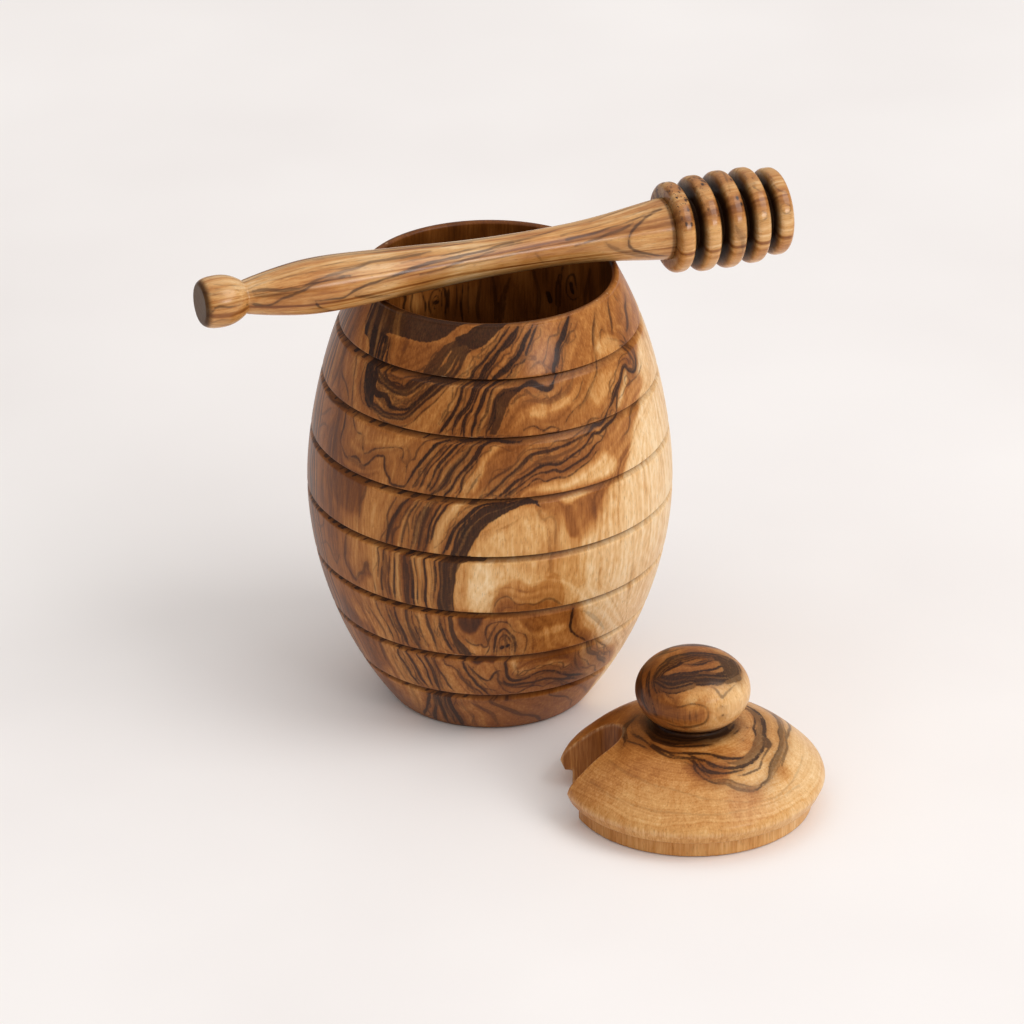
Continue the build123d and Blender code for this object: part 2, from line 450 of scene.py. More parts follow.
# Each stroke: width in mm, darkness, then degrees and height by turns.
POT_STROKES = [
    (.9, .9, [-137.6, 113.4, -136.4, 111, -136, 108, -135.4, 105, -134, 102.6, -130, 102, -126, 101,
        -122, 101, -119, 103, -116, 105, -112, 106.5, -106, 107.3, -103, 109.4, -100, 112.6, -96, 114.4]),
    (.8, .9, [-134.2, 113.4, -132.8, 110, -132.4, 107, -131.2, 104.6, -129, 103.2, -125, 103.4, -122, 103,
        -119.6, 105, -116, 106.8, -113.6, 109, -111, 111.6, -107, 113.4, -101, 115.6]),
    (1.1, .95, [-138.6, 113, -138, 108, -137.4, 104, -136, 101, -134, 99.3, -130, 99.5, -128, 99, -126, 97.5,
        -123, 97.2, -120, 97.5, -117, 99.5, -114, 102.5, -111, 105, -108, 106.3, -104.6, 108.4, -102, 111]),
    (2.6, .84, [-137, 107, -134.5, 104.5, -131, 102.7, -127, 102.2, -124, 101.7, -121.5, 102, -119, 103.6,
        -116.5, 105.5, -113, 106.8]),
    (1.8, .88, [-140.6, 106, -139.6, 101, -138, 97.5, -135, 96.7, -131, 96.3, -128, 95.5, -122, 95.5,
        -119, 96.5, -116, 98.8, -112.5, 102, -108.5, 105.2, -105, 107.4, -102, 110]),
    (.6, .8, [-150, 106, -148.5, 104, -147, 101, -146, 98.5, -145, 96, -144.3, 94, -143, 92, -142.4, 90.4,
        -141, 88.2, -139.5, 87.4, -137, 87.5, -136.3, 86.5, -136, 85, -135.2, 83.6, -134.5, 83.3, -133, 84,
        -131, 85.3, -129, 86, -126, 86.8, -123, 87.5, -121, 87.8, -119, 87.6, -118.5, 86, -119, 84.5]),
    (.8, .6, [-156, 100, -154, 98.7, -151, 98, -149, 96.5, -147.5, 95, -147, 93.5]),
    (.6, .8, [-147.4, 92, -146.5, 88, -147, 86, -147, 83.5, -146, 82, -143.5, 80.6, -141, 80.4, -139, 81.4,
        -136.5, 81.4, -134.8, 80, -133, 81, -131.5, 82.5, -130, 83.7, -128, 84, -126.5, 84, -126, 82,
        -125, 80.5, -123.5, 79.3, -123, 78, -121, 77.6, -118.5, 77.8, -117.5, 79]),
    (1.5, .35, [-141, 80.6, -137, 80.6, -134.4, 79.6]),
    (1.6, .4, [-163, 117, -163, 108, -163, 101, -162, 96]),
    (1.4, .45, [-159, 117, -158.5, 108, -158.5, 101, -159.6, 94]), (1, .3, [-155.6, 113, -155.4, 107]),
    (1.2, .6, [-163, 92, -158, 91.2, -153, 92, -148, 91.8]),
    (1, .45, [-152, 91, -151, 89, -150.6, 85, -150.4, 80, -150, 77.5]),
    (.8, .4, [-164, 89, -161, 91, -157, 92.4]), (.9, .35, [-165, 84, -161, 86, -157, 89]),
    (.8, .4, [-165, 80.4, -160, 83.6, -156.6, 84]),
    (1.4, .3, [-119.5, 85, -117.5, 84, -116, 86, -117.5, 88.5]),
    (.9, .95, [-117.5, 79, -116, 81, -114, 83.5, -112.5, 85, -110.5, 87.5, -108.5, 90, -106, 91.5,
        -103, 92.4]),
    (.9, .95, [-107.5, 93.3, -106, 95, -104, 97, -103, 98, -102, 99.8, -101, 102.5, -100.6, 105,
        -99.6, 106.5, -97.3, 107.6, -96.5, 109, -95, 110, -93.5, 110.7, -92, 112, -90.5, 113.3, -88.5, 114.5,
        -86, 116, -83, 118, -81, 119.5]),
    (.6, .9, [-113.5, 78, -112, 80, -111, 81.5, -108.5, 84.5, -106, 87, -104, 89.5, -101.5, 91.8]),
    (.8, .95, [-111, 78, -110, 79.5, -108, 82, -105, 86, -102, 89.5, -100, 91.5, -98.6, 93]),
    (.5, .85, [-109.5, 78.5, -107, 81, -104, 85, -100, 89.7, -97.4, 92]),
    (.7, .9, [-107, 77.5, -105.5, 80, -103, 83, -100, 87, -97, 90.6]),
    (.5, .85, [-115.4, 78.4, -113, 81.4, -110, 84.6, -107, 88.4, -104.6, 91]),
    (1.5, .95, [-102.5, 93.5, -102.3, 95, -101, 97, -99.5, 98.8, -98, 100.5, -97, 102.5, -96, 104.5,
        -94.8, 106.2, -93.3, 107.2, -92.5, 108.5, -91.5, 109.6, -89.5, 111, -88, 112.3, -86, 114,
        -83.5, 115.2, -81, 116.5, -79, 118, -77, 119.5]),
    (.6, .9, [-99.5, 93.5, -98.8, 95, -98.3, 97, -97, 99, -96, 100, -95.5, 102, -94.3, 104, -93, 105.5,
        -91, 107.3, -89, 109.5, -88, 110.5]),
    (1.1, .95, [-98.2, 93.4, -98, 96, -97, 98.4]),
    (1.2, .95, [-95.6, 93, -95.3, 95, -94.3, 97, -94, 99, -93, 101, -91.5, 103.5, -90, 105, -88, 107,
        -86.5, 108, -85, 109, -83, 110, -81, 111.3, -79, 112.3, -77, 114, -75.5, 116, -73, 118, -71, 119.5]),
    (.7, .9, [-94.3, 93, -93.5, 95, -92.5, 97.3, -91, 99, -90.5, 100.5, -89, 103, -87.5, 105, -85, 107,
        -82, 108.8, -80, 110.5, -76.5, 111, -75.3, 113, -73.5, 115, -71.5, 117.5, -69, 119.5]),
    (1.3, .95, [-91.5, 93, -91.3, 94.5, -90.6, 96, -89.3, 98, -88.3, 100, -87, 101.7, -85, 103, -83, 104,
        -80.5, 104.7, -78.5, 105.3, -77, 105.8, -74.5, 105.6, -72, 104.8, -70, 104.2, -68.5, 104, -67, 104.4,
        -65.7, 105.8]),
    (.6, .85, [-89.4, 94, -88.6, 97, -87, 99.6, -85, 101.4, -82, 103, -79, 104.4]),
    (1.6, .95, [-65.7, 105.8, -65, 107.4, -64.5, 109, -63, 110.5, -61.5, 112.5, -60, 114, -58, 115,
        -56.5, 116.3, -54.5, 117.5, -52.5, 119]),
    (.6, .8, [-63.4, 108.6, -62, 110.4, -60, 112.4, -57, 114, -55, 115.4, -52, 117.4]),
    (1.4, .35, [-74, 109, -70, 110.5, -66, 108.7]), (1.4, .35, [-77, 112, -72, 111.4]),
    (1.7, .92, [-109, 77.3, -106, 79.5, -103, 82, -100.5, 85.5, -98, 88.5, -95.8, 91, -94, 92.6]),
    (1, .95, [-105, 77.3, -102.5, 79.5, -100, 82.5, -97, 86, -94.5, 88.5, -92.5, 91, -90.5, 92.4, -86, 92.6,
        -80, 92.4]),
    (.5, .85, [-100.6, 77.3, -99, 79.5, -98.5, 82, -96, 85.5, -93, 88.5]),
    (.6, .7, [-97, 78, -95.6, 80, -93, 83.4]),
    (.9, .9, [-91.4, 77.4, -88, 80, -85.5, 82, -83, 83.7, -80, 85.5, -78, 87, -76.5, 88, -74, 88.4,
        -70, 88.6, -67, 89, -64, 89.3, -61.5, 89.8, -59, 90.4, -56, 91, -53, 92.3, -49, 92, -47, 93,
        -45, 95]),
    (1.3, .92, [-45, 95, -43, 96, -41.4, 97.2, -39.7, 98.8, -38, 99.8, -36, 100.6, -34, 101.7, -32, 102.6,
        -30.5, 102.3, -29.6, 101.2, -27.6, 100.4, -25.5, 100.8, -24, 102, -23, 103]),
    (.6, .8, [-41.4, 92.6, -40.6, 94.4, -39.4, 96.6, -38.2, 98.6, -36, 99.8]),
    (.5, .75, [-44.6, 93.4, -43, 94.6, -41.4, 93.6]),
    (.8, .92, [-88.6, 77.4, -84.5, 80, -82, 81.5, -79, 82.7, -76.5, 84, -74, 85, -71, 85.3, -69, 85,
        -67, 84.6, -65, 85, -62.5, 86.2, -60, 87.2, -57.5, 88, -55.5, 89.5, -53.5, 90.5, -50.5, 90.3,
        -48.5, 90.8, -46, 91.3, -43, 92, -41, 93]),
    (.5, .85, [-87, 77.4, -84.5, 78.8, -81, 80, -78, 81.8, -76, 83, -73.5, 83.6, -71, 83.5, -68.5, 83.5,
        -66.5, 82.5, -65, 82.4, -63, 83, -61, 83.8, -58.5, 84.7, -56, 85.5, -54, 86.8, -52, 87.7, -50, 88,
        -48.5, 89, -46.5, 90.5]),
    (.4, .8, [-83, 77.8, -80, 79, -78, 79.8, -76, 81.5, -73.5, 82, -71.5, 81, -69, 81.4, -67, 81.2,
        -65, 80.7, -62.5, 81, -60, 82, -57.5, 83, -55, 84, -53, 85.3, -51, 85.6]),
    (.9, .45, [-78, 84.4, -74, 86.6, -70, 86.8, -65, 87.4, -60, 88.8]),
    (.7, .5, [-41, 86.5, -38, 87, -36.5, 88.5, -36, 90.5, -34, 92, -31, 92.5, -27, 92.7]),
    (.5, .75, [-78, 94.4, -74, 95, -71, 94, -68, 95.1, -65.4, 94, -67, 93.3, -70, 93.4, -72, 93.8]),
    (.4, .8, [-63.5, 95, -62, 96.2, -60, 97, -58, 97.8, -55.5, 98.6, -54, 99.5, -52, 100.8, -50.5, 101.8,
        -48.5, 103, -47, 104.3, -46, 105.5, -45.5, 107, -45, 109]),
    (1, .65, [-45, 109, -44, 111.5, -43, 113, -41.8, 114.5, -40.5, 116, -39, 117.5]),
    (.4, .55, [-59, 99.5, -56, 101, -54.4, 103, -53, 104.6]), (.8, .35, [-57, 97.4, -51, 101, -46, 104.8]),
    (1.2, .28, [-78, 101.6, -74, 101.7, -69, 100.8, -66, 101.2, -62, 102, -59, 104, -58, 106]),
    (.7, .6, [-39.5, 111.5, -38.5, 113, -37, 113.3, -36.5, 112.5]),
    (.8, .3, [-36, 111, -33, 110, -30, 108.6]),
    (.7, .65, [-33, 111.5, -31, 113.5, -30, 115, -29, 116.3, -27, 118, -25, 118.7]),
    (.9, .7, [-31, 108, -28.5, 107.3, -27, 106, -26, 104.5, -25.5, 102.5, -27, 101]),
    (.9, .5, [-26, 112.5, -23, 112.7, -20, 113.5]), (.5, .5, [-19.5, 118, -19, 116.5]),
    (1.4, .65, [-22, 109.6, -19, 111, -17, 112.5, -15, 114, -12, 114.8, -9, 115.5]),
    (1.3, .85, [-116, 75.5, -118, 73.5, -119.8, 70.5, -121.5, 68, -123, 65.5, -123.8, 62.5, -124, 61]),
    (.7, .8, [-112.8, 75.5, -115, 72, -116.5, 68.5, -118, 65, -118.5, 61.5]),
    (.5, .7, [-114.2, 75.5, -116.4, 72, -117.6, 69]),
    (1.1, .8, [-109.6, 75.5, -112, 71, -113.4, 66.6, -115, 61.5]),
    (1.1, .8, [-107.8, 75.5, -110, 71, -111.6, 66.6, -112.6, 61.5]),
    (.9, .85, [-108.8, 75.6, -111, 71, -112.6, 66, -113.8, 61.5]),
    (.8, .9, [-105, 75.8, -107, 72.5, -108.5, 69, -109.5, 65, -110, 61.5]),
    (.5, .85, [-103, 75.8, -104.5, 73.5, -106.5, 70.5, -107.7, 67, -108.5, 64]),
    (1.1, .95, [-104.5, 61.5, -102, 66, -99.5, 69.5, -97, 72, -93.5, 74.6, -90, 76.2, -84, 77]),
    (1.2, .45, [-132.5, 75, -133.5, 72.5, -134.8, 70, -134.8, 66]),
    (1.3, .3, [-156, 75, -155.5, 68, -154.5, 63]), (.8, .35, [-150.5, 75, -150, 71, -149, 68]),
    (.8, .8, [-125, 60, -125.2, 55, -125.8, 50, -126.3, 44.6]),
    (1.4, .4, [-124.3, 60, -124.4, 54, -124.8, 48]), (.4, .6, [-122.5, 58, -123, 52, -123.5, 46]),
    (.6, .85, [-120.6, 60, -121, 54, -121.3, 50, -122, 44.5]), (.5, .6, [-119, 59, -119.3, 50, -119.5, 45]),
    (2.3, .7, [-117.2, 60, -117.2, 52, -117, 44.5]),
    (.8, .95, [-115.4, 60, -115.2, 55, -115, 50, -114.6, 44.6]),
    (.4, .85, [-113.8, 59, -113.3, 50, -113.2, 45]), (.4, .7, [-112, 59, -111.9, 53, -111.7, 46]),
    (.7, .9, [-110.6, 60, -110.6, 50, -110.3, 44.5]), (.4, .6, [-108.3, 59, -108.6, 50, -108.6, 45]),
    (.7, .95, [-107, 60, -107.5, 52, -107.9, 46]),
    (.7, .4, [-154, 59, -154.5, 57.5, -156, 56, -159, 55.2, -163, 56]),
    (.7, .35, [-161, 50, -157, 51, -154, 52.5, -151, 51.5, -149.5, 49, -148, 48, -146.5, 50, -145, 52]),
    (1.1, .5, [-141, 59.5, -141, 56, -141.5, 53.5, -142.5, 52, -142, 50, -141, 48.5, -139.5, 47,
        -138.5, 46.2, -137.5, 47.5, -136, 49, -134, 50, -133, 52, -132, 53.5, -131.5, 51.5, -130.5, 50]),
    (.5, .7, [-129.4, 48, -129.2, 44.6]),
    (.7, .35, [-139, 41, -137.5, 39, -136, 37.5, -134.5, 36.8, -134, 38]),
    (.8, .5, [-134.5, 40, -133.5, 38.5, -132, 36.5, -131, 34.5, -130, 32, -130, 30.5]),
    (.6, .8, [-129.6, 42, -129, 38.5, -128, 36, -127.3, 33.5, -126.3, 31.5, -126, 30]),
    (.9, .75, [-126, 42, -125.5, 38, -125, 35, -124, 32.5, -123.3, 30]),
    (.4, .6, [-125, 42, -124.3, 38, -123.6, 35]),
    (1, .85, [-122.8, 42, -122.3, 38.5, -121, 34, -120, 31, -119.5, 30]),
    (2.3, .75, [-118, 42, -117.8, 38.5, -117.2, 35, -116.5, 32.5, -115.4, 30]),
    (.5, .9, [-116, 42, -115.8, 38, -115, 33]), (.4, .7, [-114, 42, -114, 38.5, -113.8, 35, -113, 31]),
    (.8, .8, [-111.3, 42, -111, 39, -110, 36, -109.5, 33.5, -108.6, 30]),
    (.9, .95, [-107.2, 42.6, -106.8, 39.5, -106, 37.5, -105, 34.5, -103.8, 32, -102.5, 30]),
    (.6, .65, [-99, 36.5, -97, 34.5, -95, 34, -93.5, 34.3, -92.5, 33.2, -91, 33.5, -90.5, 35, -89.5, 36.5,
        -88, 38.5, -86.5, 41]),
    (.5, .6, [-97.4, 31, -95.5, 30.4]), (.9, .4, [-129.7, 26, -129.5, 23, -129, 20, -128, 17.5, -127, 15.5]),
    (1.2, .4, [-134, 28, -133.8, 24, -134.5, 21]),
    (.8, .95, [-124.8, 28.4, -125.7, 25.5, -125, 23.5, -124, 21.5, -123, 19, -121.5, 17, -119.8, 15.3]),
    (1, .85, [-122, 28.4, -121, 26, -120.3, 23.5, -119.2, 21, -118.3, 18.5, -117, 16.5, -116.3, 15.3]),
    (.7, .9, [-118, 28.4, -116.5, 25.5, -115.3, 23, -114.6, 20, -114, 17.5, -114, 15.3]),
    (1.5, .85, [-114.5, 28.4, -113.2, 25, -112, 22, -111.3, 18.5, -111.3, 15.3]),
    (.6, .75, [-110.3, 28, -109.8, 24, -108.5, 22, -107.3, 20.5, -106.5, 18.5, -105, 16]),
    (.4, .7, [-109.8, 20, -109.6, 17, -109, 15.4]),
    (.6, .7, [-106.6, 28, -106, 25.5, -104.5, 25.3, -102.5, 24, -101, 22, -99.5, 20, -97.5, 18, -96, 16]),
    (.9, .9, [-100, 28, -99.5, 25, -98, 22.5, -96, 20.5, -94.5, 18.5, -92.5, 17, -90.5, 15.3]),
    (.7, .85, [-98.5, 26.8, -96.3, 24, -94, 22, -92.5, 21, -91, 20.5, -90, 20.8, -89.3, 22, -88.5, 23.4,
        -87, 24.6, -85.5, 24.5]),
    (.5, .65, [-93, 19, -92, 17.5, -90, 17.3, -87, 17]),
    (.7, .88, [-116.8, 14.5, -117.6, 12, -118.7, 10.5, -119.8, 9.5, -121.3, 8, -122.5, 7, -123.5, 5.5,
        -125.5, 4, -128, 2.5, -130, 1]),
    (1.2, .35, [-126, 14, -126.5, 10, -127, 7, -128.5, 4]),
    (1.7, .9, [-115, 14.5, -115.3, 11.5, -116, 9, -117.5, 7, -119.5, 4.5, -121.5, 2, -123, .5]),
    (2.1, .88, [-113.5, 14.5, -113.6, 12, -113.5, 9, -113.2, 6, -113.5, 3, -114, .5]),
    (.5, .8, [-112, 14.5, -112.3, 11, -112.3, 8]),
    (1.5, .88, [-110, 14.5, -110.5, 11.5, -110.3, 8, -109.7, 5, -109.5, 1]),
    (2, .9, [-108.6, 14.5, -108.3, 11.5, -107.6, 9, -106.8, 6, -105.8, 3, -105.5, .5]),
    (.8, .4, [-103, 13.5, -102, 10, -100, 6.5, -98, 3, -97, .5]),
    (1.2, .4, [-98, 11.5, -94, 9.5, -90, 7, -87, 4.5, -85, 2]),
    (.8, .88, [-88, 30, -88.2, 33, -87.5, 36, -86, 38, -84.3, 39, -82.7, 37.5, -81.5, 35.5, -80.7, 33,
        -80.5, 30]),
    (.5, .85, [-87, 30, -87, 33, -86, 35.5, -84.5, 37, -83, 36, -81.8, 33.5, -81.5, 30.5]),
    (.4, .6, [-86, 30.5, -86.3, 32.5]), (.9, .98, [-85.3, 32.6, -85.1, 32.8]),
    (.8, .96, [-83.4, 33.1, -83, 33.4]), (.4, .6, [-85.5, 35, -84.3, 35.7, -83.2, 34.8]),
    (.6, .5, [-89, 44.8, -88, 47.5, -86.5, 49, -84.5, 49.3, -83, 48.5, -81.5, 47, -79.5, 46.8, -78, 47,
        -76, 46.3, -74.5, 46.5, -72.5, 47.3, -70.5, 47.3, -69, 46.7, -66, 45]),
    (.7, .95, [-62.5, 42.4, -62.6, 39, -62.3, 37, -61.5, 35.5, -60, 34.3, -58.5, 33, -56.5, 31.7,
        -54.5, 30.3, -53.5, 29.6]),
    (.9, .9, [-83.7, 29, -83.9, 26, -84, 24, -83.2, 22, -81.8, 20.9, -80, 20.3, -77.5, 20.3, -75, 20.7,
        -73, 21.8, -71, 22.4, -69, 22.4, -66.5, 22, -64.5, 21.6, -63, 20.7, -61, 19.8, -59, 19.2, -56, 18.2,
        -53, 17.6, -50, 17, -47, 16.2]),
    (.8, .8, [-85, 22, -84, 20, -82, 19, -79, 18.7, -76, 18.9, -73, 18.9, -71, 19.3, -68, 19.5, -65, 19,
        -62, 18.3, -59, 17.5, -56, 17.2, -52, 16]),
    (.7, .55, [-57.5, 28, -56.5, 25.5, -55.3, 22.5, -53.5, 20.5, -51.5, 19, -49.5, 18.3]),
    (1.3, .7, [-53, 29.5, -52, 28, -50.5, 25.5, -48, 24, -45.5, 22.8, -43.5, 21, -41.5, 19.8, -39, 18.8,
        -36, 17]),
    (.5, .6, [-50.5, 29.5, -50, 27, -47, 25, -44, 23, -41, 21, -37.5, 20]),
    (1.2, .6, [-90, 14.5, -89.5, 12.5, -87.5, 11, -85, 9.8, -82, 8.5, -79, 7.6, -76.5, 6.5, -74, 5.5, -71, 5,
        -68, 4.3, -65.5, 3.8, -63, 2.7, -61, 1.5, -59, .5]),
    (.6, .6, [-63.8, 13.5, -63, 12, -60.5, 11.3, -57, 10.6, -54, 9.8, -51, 8.5, -49, 7, -46.5, 6, -44, 4,
        -41, 2.5]),
    (.6, .6, [-42, 15, -39, 13.5, -35, 12]), (.5, .5, [-34, 7, -30, 5.5]),
    (.9, .7, [-88.5, 14.3, -88, 12.8]), (1.2, .7, [-84, 14.3, -82.6, 12.6]),
    (1, .25, [-75.5, 75.6, -73.8, 74, -74.5, 72, -73.5, 70.5, -71, 71, -69.5, 69, -69, 66, -69, 62]),
    (1, .25, [-58, 41, -54, 39, -50, 35, -46, 32]),
]
# Strokes on the grooves' bevels only: two dark bands of painted shade, deepening the shade in two grooves.
GROOVE_SHADE_STROKES = [
    (1.8, .85, [-102, 60.4, -93.5, 60.7]), (1.3, .6, [-101, 44.2, -94, 44.4]),
]
# Dark filled shapes: darkness, then their outline.
POT_SHAPES = [
    (.9, [-152.5, 120, -151.6, 117, -150.4, 113.4, -148, 112, -145, 111.4, -141, 111, -138.4, 113.6,
        -135, 114.3, -130, 114.2, -125, 114.3, -120, 114.4, -116, 115, -112, 115.8, -108, 116.8, -105, 118,
        -102, 119.6, -102, 121, -140, 122]),
    (.98, [-151, 114, -148, 111.6, -145, 111, -143, 109, -142, 106, -141.5, 103, -140.5, 100, -139.5, 98,
        -138, 96.5, -135.6, 95.4, -133.4, 96.4, -134.6, 98.4, -135, 101, -134.6, 104, -134, 107, -133.6, 110,
        -134.6, 113.4, -138, 114, -146, 116]),
    (.8, [-116, 107.2, -114.6, 110, -112, 112.8, -109, 114.6, -105, 115.6, -100, 117.4, -97, 115, -99, 112.4,
        -101, 110, -103, 107.6, -108, 105.8, -113, 106]),
    (.92, [-104, 113, -100, 114, -96, 114.2, -92, 115.5, -88, 117, -84, 119, -83, 121, -94, 121, -99, 118,
        -104, 116.6]),
    (.78, [-90.5, 94, -89.5, 98, -88.5, 101, -87, 103, -84, 105, -80, 105.8, -77, 106, -79, 104.4,
        -82, 102.2, -85, 99.7, -87, 97, -88.4, 94]),
    (.95, [-102.4, 61, -101.2, 65, -99, 69, -96, 72, -92, 74.6, -88, 76.4, -80, 76.6, -74.6, 75.8,
        -73.6, 74.2, -75.4, 75.1, -80, 75, -84, 74, -87, 72.5, -90, 70.7, -92.5, 68.4, -95, 65, -96.6, 62.6,
        -97.2, 61]),
    (.9, [-106, 61, -106, 52, -107.2, 44.2, -101.4, 44.2, -101, 50, -100.4, 56, -98.6, 59, -96, 61.2]),
    (.85, [-104.6, 43, -102.8, 43, -101.8, 38.5, -100.5, 35.5, -98.5, 33, -96.8, 30, -101, 30, -102.2, 33,
        -103.6, 38]),
    (.85, [-104.4, 92.4, -98, 93, -92, 93.6, -92, 92.2, -100, 91.8]),
]
# Pale lines through the dark: width in mm, strength, then degrees and height by turns.
POT_GAPS = [
    (.45, .9, [-138.4, 113, -138, 110, -137.4, 107, -136.8, 103]),
    (.4, .85, [-136.6, 112.6, -135.9, 109.6, -135.4, 107]), (.3, .7, [-140, 107, -139, 103.4]),
    (.3, .5, [-134.8, 104, -132.6, 102.4, -129, 101.6]),
    (.35, .5, [-128, 103.2, -124, 102.8, -121.4, 103.2, -118.6, 105]),
    (.9, .9, [-110, 109.4, -107.8, 111.3, -105.8, 113]),
    (.7, .9, [-107.8, 107.5, -105.2, 109.6, -103, 112.2]),
    (.7, .85, [-105.2, 107.6, -103.2, 109.6, -101.4, 112.2]),
    (.35, .6, [-112.8, 109.8, -110.4, 112.4, -107.6, 114]),
    (.35, .8, [-103.4, 62, -101.8, 65, -99.6, 68.6, -97, 71.4]), (.3, .6, [-104, 60, -104, 52, -104.6, 45]),
    (.3, .6, [-102.6, 60, -102.4, 52, -102.8, 45]), (.3, .7, [-101, 62, -99.6, 66, -97, 70, -93.6, 73]),
    (.6, .95, [-93, 26.9, -92.5, 27]),
]
